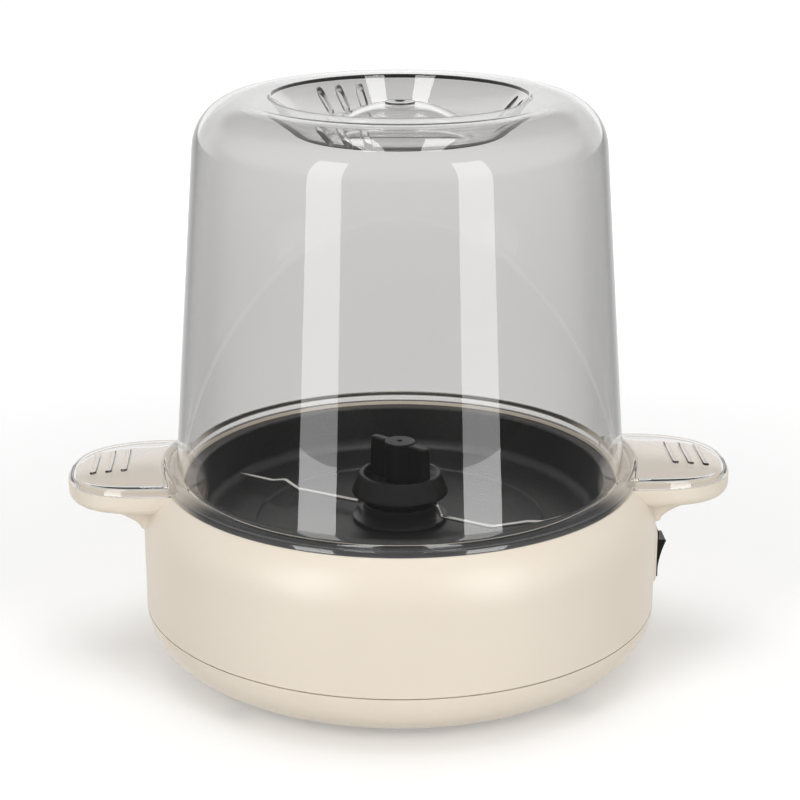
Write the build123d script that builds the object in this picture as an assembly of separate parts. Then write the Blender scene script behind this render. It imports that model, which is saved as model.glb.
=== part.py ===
from build123d import *
import os
from math import asin, cos, degrees, radians, sqrt, tan

# Popcorn maker with a stirred hot pan under a clear dome that doubles as the bowl.
# Millimetres, +Z up, front towards -Y, origin on the table under the middle of the base.

# Base: bottom cover, housing and its two handles
BODY_R = 110.0            # outside radius of the base
FOOT_LIFT = 2.0           # underside of the base above the table
COVER_H = 22.5            # bottom cover, from its underside to the parting line
HOUSING_H = 55.5          # housing, from the parting line to the dome seat
COVER_SIDE = 29.0         # width of the rounded side of the cover
WALL = 2.6                # moulded wall of housing and cover
SEAM_GAP = 0.5            # shadow groove at the parting line
SHOULDER_R = 25.0         # rounding of the housing under the dome seat
SEAT_INSET = 8.6          # outer edge of the dome seat inside the base
HANDLE_REACH = 31.5       # handle tip beyond the base
HANDLE_HALF_W = 31.5      # half the width of a handle
HANDLE_NOSE = 38.0        # length of the rounded end of a handle
HANDLE_FULLNESS = 0.69    # how square that end is, 0.55 for an ellipse
HANDLE_T = 8.5            # thickness of a handle
HANDLE_EDGE_R = 4.5       # rounding under a handle
GUSSET_REACH = 18.0       # cove under a handle, along the handle
GUSSET_H = 8.5            # and down the side of the base
GUSSET_FULLNESS = 0.35    # how deep the cove is hollowed
GUSSET_HALF_W = 23.0      # half the width of the web under a handle
GUSSET_EDGE_R = 3.0       # rounding of that web
TONGUE_H = 4.0            # rib of the cover that stands inside the housing
TONGUE_T = 2.2            # thickness of that rib
FIT = 0.3                 # gap between parts that are set into each other

# Pan and the collar that carries it
PAN_SET = 0.6             # pan rim below the dome seat
PAN_DEPTH = 20.9          # rim to cooking floor
PAN_T = 2.2               # thickness of floor and wall
PAN_RIM_W = 4.9           # width of the rim
PAN_RIM_T = 1.5           # thickness of the rim
PAN_FLARE = 2.0           # wall wider at the rim than at the floor
PAN_FILLET = 5.0          # rounding between wall and floor
DISC_R = 61.3             # lower flat disc in the middle of the floor
DISC_STEP = 0.8           # depth of that disc
FLOOR_RISE = 1.2          # rise of the floor from the disc to the wall
CHIMNEY_R = 9.5           # tube round the shaft, keeps oil out of the bearing
CHIMNEY_H = 5.0           # its height above the floor
HUB_BOSS_DROP = 4.3       # bearing boss under the floor
HUB_BOSS_R = 12.0
POST_R = 5.0              # posts under the pan
POST_H = 9.3
POST_INSET = 15.0         # posts inside the wall
COLLAR_T = 3.4            # collar of the housing round the pan
COLLAR_H = 8.0
LIP_T = 0.8               # locating lip inside the dome
LIP_H = 0.8

# Dome
DOME_H = 161.5            # seat to the top
DOME_WALL = 2.3
FLANGE_W = 5.3            # flange outside the wall of the dome
DOME_DRAFT = 4.36         # degrees
DOME_CORNER_R = 21.0
FLANGE_INSET = 0.5        # flange inside the edge of its seat
FLANGE_T = 2.4
FLANGE_EDGE_R = 0.8
FLANGE_ROOT_R = 2.0
WELL_R = 52.7             # rim of the well in the top
WELL_RIM_R = 3.2          # rounding of that rim
WELL_DEPTH = 12.9
TROUGH_OUT_R = 40.0       # outer edge of the trough
TROUGH_IN_R = 29.0        # foot of the middle hill
TROUGH_FILLET = 5.0
HILL_SHOULDER_R = 18.0
HILL_SHOULDER_H = 8.4
HILL_ROUND_R = 38.0
HILL_H = 10.2
WELL_JOINT_R = 59.0       # welded joint between the well and the rest of the dome
GATE_R = 6.1              # moulding gate disc on the hill
GATE_H = 0.2
GATE_DIMPLE_R = 2.6
SLOT_W = 3.4              # drip slots in the slope of the well
SLOT_IN_R = 41.2
SLOT_OUT_R = 50.2
SLOT_GROUPS = 3
SLOTS_PER_GROUP = 3
SLOT_STEP = 11.5          # degrees between slots of one group
TAB_INSET = 0.7           # dome tab inside the outline of the handle
TAB_H = 6.5               # height of the tab's crown above the seat
TAB_VAULT_R = 245.0       # spherical crown of the tab, highest at its root
TAB_EDGE_R = 2.4
TAB_WALL = 2.2
TAB_ROOT = 2.6            # groove between the wall of the dome and the tab
RIB_COUNT = 3             # grip ribs on each tab
RIB_STEP = 6.5
RIB_FIRST = 11.5          # first rib from the tip of the tab
RIB_W = 2.8
RIB_L = 27.0
RIB_H = 0.7

# Drive line, from the motor up to the knob
SHAFT_R = 4.0
SHAFT_FLAT = 3.2          # half the distance between the flats of the shaft
RUN_CLEAR = 0.05          # radial running clearance
SLIP = 0.05               # slip fit between parts that turn together
BUSH_R = 7.0
BUSH_FLANGE_R = 9.5
BUSH_FLANGE_T = 1.5
CLIP_T = 0.8
CLIP_R = 6.0
CLIP_GROOVE = 0.7         # depth of the clip's groove
CLIP_GAP = 0.3            # gap below and above the clip
CLIP_MOUTH = 5.3          # opening of the clip
HUB_R = 16.0
HUB_BORE_R = 11.5
HUB_PLATE_T = 1.1
HUB_FLANGE_R = 20.5
HUB_FLANGE_T = 1.2
HUB_LIFT = 0.4            # hub above the pan floor
COUPLING_R = 9.0
COUPLING_L = 14.5
END_GAP = 1.0             # end play between bush, coupling and motor
SPINDLE_R = 3.5
SPINDLE_FLAT = 2.75
SPINDLE_DEPTH = 8.0       # spindle inside the motor
SPINDLE_L = 9.6           # spindle inside the coupling
MOTOR_R = 24.5
MOTOR_H = 19.0
MOTOR_BOSS_R = 8.0
MOTOR_BOSS_H = 2.0
EAR_T = 1.2
EAR_R = 5.0
EAR_PITCH_R = 31.5        # motor screw from the axis
EAR_POST_R = 4.6

# Stirring wire and knob
WIRE_R = 0.9
EYE_R = 6.2               # middle line of the eye of the wire
WIRE_ANGLE = -30.0        # degrees, direction of the long arm at rest
WIRE_BEND_R = 1.6
WIRE_LIFT = 3.4           # low run of the wire above the pan floor
WIRE_RAISED = 5.8         # raised run of the wire above the pan floor
WIRE_DROP_R = 4.0         # foot of the drop outside the hub
SWEEP_BEND = 44.0         # sweeping arm: distances along it and to its side
SWEEP_KNEE = 58.0
SWEEP_SIDE = 5.7
SWEEP_TIP = 72.3
SWEEP_TIP_SIDE = 9.6
REACH_BEND = 51.0         # straight arm: distances along it
REACH_HUMP = 57.5
REACH_CLEAR = 4.0         # tip inside the wall of the pan
WASHER_R = 8.5
WASHER_T = 0.7
WASHER_GAP = 0.1          # washer above the eye of the wire
KNOB_SKIRT_R = 21.0
KNOB_FOOT_R = 17.6
KNOB_FOOT_H = 1.7         # height of the widest ring above the foot
KNOB_RIM_R = 17.3
KNOB_RIM_T = 1.5
KNOB_SKIRT_H = 10.5
KNOB_BOWL_H = 7.0         # floor of the bowl above the foot
KNOB_H = 24.5
KNOB_BOSS_R = 6.5
KNOB_BOWL_R = 12.0        # flat floor of the bowl
KNOB_DIMPLE_R = 1.3
GRIP_L = 32.0
GRIP_T = 5.6
GRIP_END_R = 2.2
GRIP_EDGE_R = 1.0         # rounding of its top
GRIP_DRAFT = 2.5          # degrees
GRIP_ANGLE = -43.0        # degrees
INSERT_R = 6.0
INSERT_H = 9.5
THREAD_L = 17.5           # shaft above the knob's foot
THREAD_ROOM = 1.5         # free bore above the end of the shaft

# Heater, shield and controls
TUBE_R = 3.3
HEATER_R = 50.0
HEATER_GAP = 40.0         # degrees left open between the ends
HEATER_LEG = 11.0         # legs below the tube
PIN_R = 1.4
PIN_L = 6.0
RIB_RING_HALF_W = 5.0     # cast ring that holds the heater
GROOVE_CLEAR = 0.05
SHIELD_MARGIN = 8.0       # shield outside the circle of the posts
SHIELD_T = 0.8
SHIELD_RIM_H = 5.5
SHIELD_HOLE_R = 13.5
LEG_HOLE_R = 5.5
BRACKET_T = 1.2
BRACKET_W = 12.0
STAT_R = 8.0              # thermostat
STAT_H = 8.0
STAT_CIRCLE_R = 28.0
STAT_ANGLE = 65.0
STAT_HOLE_R = 9.5
BLADE_W = 6.3
BLADE_T = 0.8
BLADE_L = 9.0             # switch blades
BLADE_PITCH = 6.0
FUSE_R = 2.0
FUSE_L = 14.0
FUSE_CLIP_T = 0.8
FUSE_CLIP_W = 5.0
FUSE_ANGLE = 245.0
TAIL_R = 0.5              # wire tails of the fuse
TAIL_REACH = 11.0         # bent down at this distance from its middle
TAIL_DROP = 5.0           # below the shield
TAIL_HOLE_R = 2.0

# Fasteners
SCREW_R = 1.5
HEAD_R = 3.2
HEAD_H = 2.0
SCREW_CLEAR = 0.4         # clearance hole round a screw
DRIVE_R = 1.0             # recess in a screw head
DRIVE_DEPTH = 1.1
SCREW_BITE = 8.0          # screw inside its post
PILOT_ROOM = 1.0          # pilot hole beyond the screw
TOWER_R = 4.6             # posts of the housing
TOWER_INSET = 12.0        # posts inside the base
SLEEVE_R = 6.0            # screw sleeves of the cover
SLEEVE_SHELF = 4.0        # under the housing post
TOWER_FOOT = 2.0          # housing post above the parting line
SINK_R = 4.0

# Feet and vents
FOOT_R = 7.5
FOOT_SET = 1.4            # foot into the underside
FOOT_INSET = 11.0         # feet inside the flat of the underside
STEM_R = 2.4
BARB_R = 3.3
BARB_H = 1.6
FOOT_ROUND = 0.6
VENT_COUNT = 12
VENT_W = 3.0
VENT_IN_R = 40.0
VENT_OUT_R = 58.0

# Rocker switch on the right, under the handle
SWITCH_Z = 41.3
BEZEL_H = 21.0
BEZEL_W = 15.0
BEZEL_T = 0.8
BEZEL_R = 1.2
CASE_H = 19.0
CASE_W = 13.0
CASE_DEPTH = 15.0         # behind the bezel
CASE_WALL = 0.8
CASE_BACK = 2.0
PAD_PROUD = 1.2           # flat pad beyond the base
PAD_MARGIN = 2.3
PAD_R = 4.0
PAD_EDGE_R = 1.0
ROCKER_HALF_L = 7.6
ROCKER_W = 10.8
ROCKER_FACE = 4.7         # face in front of the pivot
ROCKER_BACK = 4.0
ROCKER_BACK_HALF_L = 5.2
ROCKER_SAG = 0.7          # hollow of the face
ROCKER_EDGE_R = 0.6
ROCKER_TILT = 14.0        # degrees at rest, top standing out
PIVOT_SET = 2.5           # pivot behind the front of the bezel
PIVOT_R = 1.2
PIVOT_L = 0.55            # stub beyond the rocker's side
SIDE_GAP = 0.25

# Cord gland and terminal block at the back
GLAND_Z = 42.0
GLAND_R = 6.5
GLAND_FLANGE_R = 9.0
GLAND_FLANGE_T = 1.5
GLAND_BORE_R = 3.4
GLAND_SET = 0.2           # flange below the round of the base
GLAND_SEAT_T = 3.0        # wall under the flange
GLAND_NUT_T = 3.0
BLOCK_L = 30.0
BLOCK_W = 12.0
BLOCK_H = 13.0
BLOCK_INSET = 11.0        # block inside the flat of the underside
BLOCK_PITCH = 9.0
BLOCK_FOOT_H = 5.0
BLOCK_PORT_L = 4.0        # lead inside its port
LEAD_R = 1.1
LEAD_BEND = 5.0

# Heights that follow from the sizes above
SEAM_Z = FOOT_LIFT + COVER_H
FLOOR_TOP_Z = FOOT_LIFT + WALL
SEAT_Z = SEAM_Z + HOUSING_H
DOME_TOP_Z = SEAT_Z + DOME_H
PAN_RIM_Z = SEAT_Z - PAN_SET
LEDGE_Z = PAN_RIM_Z - PAN_RIM_T
PAN_FLOOR_Z = PAN_RIM_Z - PAN_DEPTH
PAN_UNDER_Z = PAN_FLOOR_Z - PAN_T
CHIMNEY_TOP_Z = PAN_FLOOR_Z + CHIMNEY_H
HUB_BOSS_Z = PAN_UNDER_Z - HUB_BOSS_DROP
BUSH_FOOT_Z = HUB_BOSS_Z - BUSH_FLANGE_T
CLIP_Z = CHIMNEY_TOP_Z + CLIP_GAP
HUB_PLATE_Z = CLIP_Z + CLIP_T + CLIP_GAP
HUB_TOP_Z = HUB_PLATE_Z + HUB_PLATE_T
WIRE_Z = HUB_TOP_Z + WIRE_R
WASHER_Z = HUB_TOP_Z + 2 * WIRE_R + WASHER_GAP
KNOB_Z = WASHER_Z + WASHER_T
SHAFT_TOP_Z = KNOB_Z + THREAD_L
COUPLING_TOP_Z = BUSH_FOOT_Z - END_GAP
COUPLING_Z = COUPLING_TOP_Z - COUPLING_L
SPINDLE_TOP_Z = COUPLING_Z + SPINDLE_L
MOTOR_BOSS_TOP_Z = COUPLING_Z - END_GAP
MOTOR_TOP_Z = MOTOR_BOSS_TOP_Z - MOTOR_BOSS_H
EAR_Z = MOTOR_TOP_Z - EAR_T
POST_Z = PAN_UNDER_Z - POST_H
SHIELD_Z = POST_Z - SHIELD_T
BRACKET_Z = SHIELD_Z - BRACKET_T
HEATER_Z = PAN_UNDER_Z - TUBE_R
TOWER_Z = SEAM_Z + TOWER_FOOT

SHOULDER_Z = SEAT_Z - sqrt(SHOULDER_R**2 - (SHOULDER_R - SEAT_INSET) ** 2)

# Radii and places that follow from the sizes above
BOTTOM_FLAT_R = BODY_R - COVER_SIDE
SEAT_R = BODY_R - SEAT_INSET
FLANGE_R = SEAT_R - FLANGE_INSET
DOME_FOOT_R = FLANGE_R - FLANGE_W
LIP_OUT_R = DOME_FOOT_R - DOME_WALL - FIT
LEDGE_R = LIP_OUT_R - LIP_T
PAN_RIM_R = LEDGE_R - FIT
PAN_MOUTH_R = PAN_RIM_R - PAN_RIM_W
PAN_CORNER_R = PAN_MOUTH_R - PAN_FLARE
POST_CIRCLE_R = PAN_CORNER_R - POST_INSET
SHIELD_R = POST_CIRCLE_R + SHIELD_MARGIN
REACH_TIP = PAN_CORNER_R - REACH_CLEAR
TOWER_CIRCLE_R = BODY_R - TOWER_INSET
FOOT_CIRCLE_R = BOTTOM_FLAT_R - FOOT_INSET
BLOCK_Y = BOTTOM_FLAT_R - BLOCK_INSET
COLLAR_IN_R = PAN_MOUTH_R + PAN_T + FIT
COLLAR_OUT_R = COLLAR_IN_R + COLLAR_T
HANDLE_TIP = BODY_R + HANDLE_REACH
PAD_X = BODY_R + PAD_PROUD
PIVOT_X = PAD_X + BEZEL_T - PIVOT_SET
GLAND_SEAT_Y = BODY_R - GLAND_SET - GLAND_FLANGE_T
BLOCK_Z = FLOOR_TOP_Z + BLOCK_FOOT_H
PORT_Z = BLOCK_Z + BLOCK_H / 2
LEG_Z = HEATER_Z - HEATER_LEG
STAT_Z = PAN_UNDER_Z - STAT_H
FUSE_Z = PAN_UNDER_Z - FUSE_R - SLIP
TAIL_Z = SHIELD_Z - TAIL_DROP

# Directions round the axis, in degrees
SIDES = (0, 180)
BACK = 90
COVER_ANGLES = (45, 135, 225, 315)
BRACKET_ANGLES = (60, 180, 300)
LEG_ANGLES = (BACK - HEATER_GAP / 2, BACK + HEATER_GAP / 2)


def disc(radius, low, high):
    """Upright cylinder on the axis between two heights."""
    upright = (Align.CENTER, Align.CENTER, Align.MIN)
    return Pos(0, 0, low) * Cylinder(radius, high - low, align=upright)


def ring(inner, outer, low, high):
    """Upright tube on the axis between two heights."""
    return disc(outer, low, high) - disc(inner, low, high)


def around(angle, radius):
    """Place at a radius and an angle round the axis, facing outwards."""
    return Rot(0, 0, angle) * Pos(radius, 0, 0)


def turned(points, radii=0):
    """Solid turned about the axis from a closed outline of (radius, height) points."""
    outline = FilletPolyline(*points, radius=radii, close=True)
    return revolve(make_face(Plane.XZ * outline), Axis.Z)


def prism(sketch, low, high):
    """Sketch in plan, raised between two heights."""
    return extrude(Pos(0, 0, low) * sketch, high - low)


def double_d(radius, flat, low, high):
    """Round bar with two flats, for a shaft end or the hole that it drives."""
    section = Circle(radius) & Rectangle(2 * radius, 2 * flat)
    return prism(section, low, high)


def facing_right(sketch, start, depth):
    """Sketch (across, up) on the switch's middle, raised towards the right from a place on X."""
    return extrude(Plane.YZ.offset(start) * Pos(0, SWITCH_Z) * sketch, depth)


def screw(length):
    """Pan-head screw, its head under the origin and its shank up the axis."""
    head = disc(HEAD_R, -HEAD_H, 0) - disc(DRIVE_R, -HEAD_H, DRIVE_DEPTH - HEAD_H)
    return head + disc(SCREW_R, 0, length)


def base_round(inset, foot, top):
    """Solid of the base's round set in by a wall: an upright side and a rounded shoulder."""
    radius = SHOULDER_R - inset
    middle = BODY_R - SHOULDER_R
    turn = degrees(asin((top - SHOULDER_Z) / radius))
    edge = middle + radius * cos(radians(turn))
    side = Polyline((0, top), (0, foot), (middle + radius, foot), (middle + radius, SHOULDER_Z))
    shoulder = CenterArc((middle, SHOULDER_Z), radius, 0, turn)
    outline = side + shoulder + Line((edge, top), (0, top))
    return revolve(make_face(Plane.XZ * outline), Axis.Z)


def tongue_plan(inset):
    """Plan of a handle set in by a margin: straight sides and a full, rounded end."""
    core = HANDLE_TIP - HANDLE_NOSE
    tip = HANDLE_TIP - inset
    root = SEAT_R - HANDLE_HALF_W / 2
    half = HANDLE_HALF_W - inset
    bend = core + HANDLE_FULLNESS * (tip - core)
    swell = HANDLE_FULLNESS * half
    sides = Polyline((core, half), (root, half), (root, -half), (core, -half))
    near = Bezier((core, -half), (bend, -half), (tip, -swell), (tip, 0))
    far = Bezier((tip, 0), (tip, swell), (bend, half), (core, half))
    return make_face(sides + near + far)


def handle():
    """One handle plate with a rounded lower edge, and the coved web under it."""
    under = SEAT_Z - HANDLE_T
    plate = prism(tongue_plan(0), under, SEAT_Z)
    rim = plate.edges().group_by(Axis.Z)[0].sort_by(Axis.X)[1:]
    plate = fillet(rim, HANDLE_EDGE_R)
    low = under - GUSSET_H
    middle = SEAT_Z - HANDLE_T / 2
    tip = BODY_R + GUSSET_REACH
    bend = tip - GUSSET_FULLNESS * GUSSET_REACH
    cove = Bezier((tip, under), (bend, under), (BODY_R, low + GUSSET_FULLNESS * GUSSET_H), (BODY_R, low))
    root = Polyline((BODY_R, low), (SEAT_R, low), (SEAT_R, middle), (tip, middle), (tip, under))
    web = extrude(Plane.XZ * make_face(cove + root), GUSSET_HALF_W, both=True)
    return plate + fillet(web.edges().filter_by(GeomType.BEZIER), GUSSET_EDGE_R)


def towers(angles, foot):
    """Screw posts of the housing, from a height up to the seat."""
    return [around(angle, TOWER_CIRCLE_R) * disc(TOWER_R, foot, SEAT_Z) for angle in angles]


def pilots(angles, circle, foot):
    """Pilot holes up into posts."""
    depth = SCREW_BITE + PILOT_ROOM
    return [around(angle, circle) * disc(SCREW_R + SLIP, foot, foot + depth) for angle in angles]


def across_back(shape):
    """Turn an upright shape so that its axis runs out of the back through the gland."""
    return Pos(0, 0, GLAND_Z) * Rot(-90, 0, 0) * shape


def upper_housing():
    """Moulded housing: round side, dome seat, pan collar, handles, switch pad and posts."""
    foot = SEAM_Z + SEAM_GAP
    outside = base_round(0, foot, SEAT_Z)
    cavity = base_round(WALL, foot, SEAT_Z - WALL)
    plan = RectangleRounded(BEZEL_W + 2 * PAD_MARGIN, BEZEL_H + 2 * PAD_MARGIN, PAD_R)
    pad = facing_right(plan, BODY_R - WALL, WALL + PAD_PROUD)
    pad = fillet(pad.faces().sort_by(Axis.X)[-1].edges(), PAD_EDGE_R)
    body = outside + [Rot(0, 0, side) * handle() for side in SIDES] + pad
    body -= cavity
    inner = towers(COVER_ANGLES, TOWER_Z) + towers(BRACKET_ANGLES, SHIELD_Z)
    inner += [across_back(disc(GLAND_FLANGE_R + GLAND_SET + WALL, GLAND_SEAT_Y - GLAND_SEAT_T, BODY_R))]
    for piece in inner:
        body += piece & outside
    body += ring(COLLAR_IN_R, COLLAR_OUT_R, LEDGE_Z - COLLAR_H, SEAT_Z)
    body += ring(LEDGE_R, LIP_OUT_R, SEAT_Z - WALL, SEAT_Z + LIP_H)
    body -= disc(COLLAR_IN_R, LEDGE_Z - COLLAR_H, SEAT_Z)
    body -= disc(LEDGE_R, LEDGE_Z, SEAT_Z + LIP_H)
    body -= pilots(COVER_ANGLES, TOWER_CIRCLE_R, TOWER_Z)
    body -= pilots(BRACKET_ANGLES, TOWER_CIRCLE_R, SHIELD_Z)
    body -= facing_right(Rectangle(CASE_W + FIT, CASE_H + FIT), PAD_X - CASE_DEPTH, CASE_DEPTH)
    body -= across_back(disc(GLAND_FLANGE_R + FIT, GLAND_SEAT_Y, BODY_R))
    body -= across_back(disc(GLAND_R + SLIP, GLAND_SEAT_Y - GLAND_SEAT_T, BODY_R))
    return body


def cover_round(inset):
    """Solid of the cover's round set in by a wall: flat underside and elliptical side."""
    low = FOOT_LIFT + inset
    reach = BODY_R - BOTTOM_FLAT_R - inset
    side = EllipticalCenterArc((BOTTOM_FLAT_R, SEAM_Z), reach, COVER_H - inset, 270, arc_size=90)
    rest = Polyline((BODY_R - inset, SEAM_Z), (0, SEAM_Z), (0, low), (BOTTOM_FLAT_R, low))
    return revolve(make_face(Plane.XZ * (side + rest)), Axis.Z)


def bottom_cover():
    """Bottom shell with its tongue, screw sleeves, motor posts, foot seats and air slots."""
    outside = cover_round(0)
    body = outside - cover_round(WALL)
    tongue_r = BODY_R - WALL - FIT
    body += ring(tongue_r - TONGUE_T, tongue_r, SEAM_Z - TONGUE_H - WALL, SEAM_Z + TONGUE_H)
    room = outside + disc(tongue_r, SEAM_Z, TOWER_Z)
    for angle in COVER_ANGLES:
        body += around(angle, TOWER_CIRCLE_R) * disc(SLEEVE_R, FOOT_LIFT, TOWER_Z) & room
    for angle in SIDES:
        body += around(angle, EAR_PITCH_R) * disc(EAR_POST_R, FOOT_LIFT + WALL / 2, EAR_Z)
    body += Pos(0, BLOCK_Y, 0) * prism(Rectangle(BLOCK_L, BLOCK_W), FOOT_LIFT + WALL / 2, BLOCK_Z) & outside
    for angle in COVER_ANGLES:
        sleeve = around(angle, TOWER_CIRCLE_R)
        body -= sleeve * disc(SCREW_R + SCREW_CLEAR, FOOT_LIFT, TOWER_Z)
        body -= sleeve * disc(SINK_R, FOOT_LIFT, TOWER_Z - SLEEVE_SHELF)
        seat = around(angle, FOOT_CIRCLE_R)
        body -= seat * disc(FOOT_R + FIT, FOOT_LIFT, FOOT_LIFT + FOOT_SET)
        body -= seat * disc(STEM_R + SLIP, FOOT_LIFT, FLOOR_TOP_Z)
    for angle in SIDES:
        bite = SCREW_BITE + PILOT_ROOM
        body -= around(angle, EAR_PITCH_R) * disc(SCREW_R + SLIP, EAR_Z - bite, EAR_Z)
    vent = prism(SlotOverall(VENT_OUT_R - VENT_IN_R, VENT_W), FOOT_LIFT, FLOOR_TOP_Z)
    for turn in range(VENT_COUNT):
        angle = (turn + 0.5) * 360 / VENT_COUNT
        body -= around(angle, (VENT_IN_R + VENT_OUT_R) / 2) * vent
    return body


def rubber_foot(angle):
    """Foot with a barbed stem through the floor of the cover."""
    top = FOOT_LIFT + FOOT_SET
    barb = FLOOR_TOP_Z + BARB_H
    outline = [(0, 0), (FOOT_R, 0), (FOOT_R, top), (STEM_R, top), (STEM_R, FLOOR_TOP_Z),
               (BARB_R, FLOOR_TOP_Z), (STEM_R, barb), (0, barb)]
    return around(angle, FOOT_CIRCLE_R) * turned(outline, [0, FOOT_ROUND, 0, 0, 0, 0, 0, 0])


def cover_screws():
    """Screws up through the sleeves of the cover."""
    length = SLEEVE_SHELF + SCREW_BITE
    base = TOWER_Z - SLEEVE_SHELF
    return [around(angle, TOWER_CIRCLE_R) * Pos(0, 0, base) * screw(length) for angle in COVER_ANGLES]


def pan():
    """Coated cast pan: rimmed wall, stepped floor, chimney, bearing boss, posts and heater ring."""
    outer_floor = PAN_FLOOR_Z + DISC_STEP
    corner = outer_floor + FLOOR_RISE
    under = corner - PAN_T
    outline = [(PAN_RIM_R, PAN_RIM_Z), (PAN_MOUTH_R, PAN_RIM_Z), (PAN_CORNER_R, corner),
               (DISC_R + DISC_STEP, outer_floor), (DISC_R, PAN_FLOOR_Z), (CHIMNEY_R, PAN_FLOOR_Z),
               (CHIMNEY_R, CHIMNEY_TOP_Z), (BUSH_R, CHIMNEY_TOP_Z), (BUSH_R, HUB_BOSS_Z),
               (HUB_BOSS_R, HUB_BOSS_Z), (HUB_BOSS_R, PAN_UNDER_Z), (DISC_R, PAN_UNDER_Z),
               (PAN_CORNER_R + PAN_T, under), (PAN_MOUTH_R + PAN_T, LEDGE_Z), (PAN_RIM_R, LEDGE_Z)]
    lip = PAN_RIM_T / 2
    radii = [0, lip, PAN_FILLET, 0, 0, lip, lip, 0, 0, 0, 0, 0, PAN_FILLET + PAN_T, 0, 0]
    body = turned(outline, radii)
    body += ring(HEATER_R - RIB_RING_HALF_W, HEATER_R + RIB_RING_HALF_W, HEATER_Z, PAN_UNDER_Z)
    for angle in BRACKET_ANGLES:
        body += around(angle, POST_CIRCLE_R) * disc(POST_R, POST_Z, PAN_UNDER_Z + PAN_T / 2)
    body -= pilots(BRACKET_ANGLES, POST_CIRCLE_R, POST_Z)
    groove = Plane.XZ * Pos(HEATER_R, HEATER_Z) * Circle(TUBE_R + GROOVE_CLEAR)
    return body - revolve(groove, Axis.Z)


def heating_element():
    """Tubular heater: open ring under the pan with two legs and their pins."""
    section = Plane.XZ * Pos(HEATER_R, HEATER_Z) * Circle(TUBE_R)
    tube = Rot(0, 0, LEG_ANGLES[1]) * revolve(section, Axis.Z, 360 - HEATER_GAP)
    for angle in LEG_ANGLES:
        leg = around(angle, HEATER_R)
        tube += leg * Pos(0, 0, HEATER_Z) * Sphere(TUBE_R)
        tube += leg * disc(TUBE_R, LEG_Z, HEATER_Z)
        tube += leg * disc(PIN_R, LEG_Z - PIN_L, LEG_Z)
    return tube


def heat_shield():
    """Pressed dish under the heater, open for the drive, the legs and the thermostat."""
    rim = SHIELD_Z + SHIELD_RIM_H
    outline = [(SHIELD_HOLE_R, SHIELD_Z), (SHIELD_R, SHIELD_Z), (SHIELD_R, rim), (SHIELD_R - SHIELD_T, rim),
               (SHIELD_R - SHIELD_T, POST_Z), (SHIELD_HOLE_R, POST_Z)]
    body = turned(outline)
    holes = [around(angle, HEATER_R) * disc(LEG_HOLE_R, SHIELD_Z, POST_Z) for angle in LEG_ANGLES]
    holes += [around(STAT_ANGLE, STAT_CIRCLE_R) * disc(STAT_HOLE_R, SHIELD_Z, POST_Z)]
    for angle in BRACKET_ANGLES:
        holes += [around(angle, POST_CIRCLE_R) * disc(SCREW_R + SCREW_CLEAR, SHIELD_Z, POST_Z)]
    for side in (-TAIL_REACH, TAIL_REACH):
        holes += [around(FUSE_ANGLE, STAT_CIRCLE_R) * Pos(0, side, 0) * disc(TAIL_HOLE_R, SHIELD_Z, POST_Z)]
    return body - holes


def pan_bracket(angle):
    """Strap that ties a post of the pan to a post of the housing."""
    span = TOWER_CIRCLE_R - POST_CIRCLE_R
    strap = prism(SlotCenterToCenter(span, BRACKET_W), BRACKET_Z, SHIELD_Z)
    for end in (-span / 2, span / 2):
        strap -= Pos(end, 0, 0) * disc(SCREW_R + SCREW_CLEAR, BRACKET_Z, SHIELD_Z)
    return around(angle, (TOWER_CIRCLE_R + POST_CIRCLE_R) / 2) * strap


def bracket_screws():
    """Screws up through the straps, into the pan's posts and the housing's posts."""
    long_screw = Pos(0, 0, BRACKET_Z) * screw(BRACKET_T + SHIELD_T + SCREW_BITE)
    short_screw = Pos(0, 0, BRACKET_Z) * screw(BRACKET_T + SCREW_BITE)
    screws = [around(angle, POST_CIRCLE_R) * long_screw for angle in BRACKET_ANGLES]
    return screws + [around(angle, TOWER_CIRCLE_R) * short_screw for angle in BRACKET_ANGLES]


def thermostat():
    """Snap-disc thermostat against the underside of the pan, with two blades."""
    cap = disc(STAT_R, PAN_UNDER_Z - STAT_H / 2, PAN_UNDER_Z)
    body = cap + disc(STAT_R - BLADE_T, STAT_Z, PAN_UNDER_Z - STAT_H / 2)
    for side in (-STAT_R / 2, STAT_R / 2):
        body += Pos(side, 0, 0) * prism(Rectangle(BLADE_T, BLADE_W), STAT_Z - BLADE_W, STAT_Z)
    return around(STAT_ANGLE, STAT_CIRCLE_R) * body


def rod(points, radius, bend):
    """Round bar along straight runs joined by arcs."""
    path = FilletPolyline(*points, radius=bend)
    return sweep(Plane(path @ 0, z_dir=path % 0) * Circle(radius), path=path)


def fuse_place():
    """Place of the thermal fuse, its axis across the radius."""
    return around(FUSE_ANGLE, STAT_CIRCLE_R) * Pos(0, 0, FUSE_Z)


def thermal_fuse():
    """Thermal fuse: a small barrel with a tail bent down at each end."""
    body = Rot(90, 0, 0) * Cylinder(FUSE_R, FUSE_L)
    for side in (-1, 1):
        tail = [(0, side * FUSE_L / 2, 0), (0, side * TAIL_REACH, 0), (0, side * TAIL_REACH, TAIL_Z - FUSE_Z)]
        body += rod(tail, TAIL_R, 2 * TAIL_R)
    return fuse_place() * body


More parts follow.
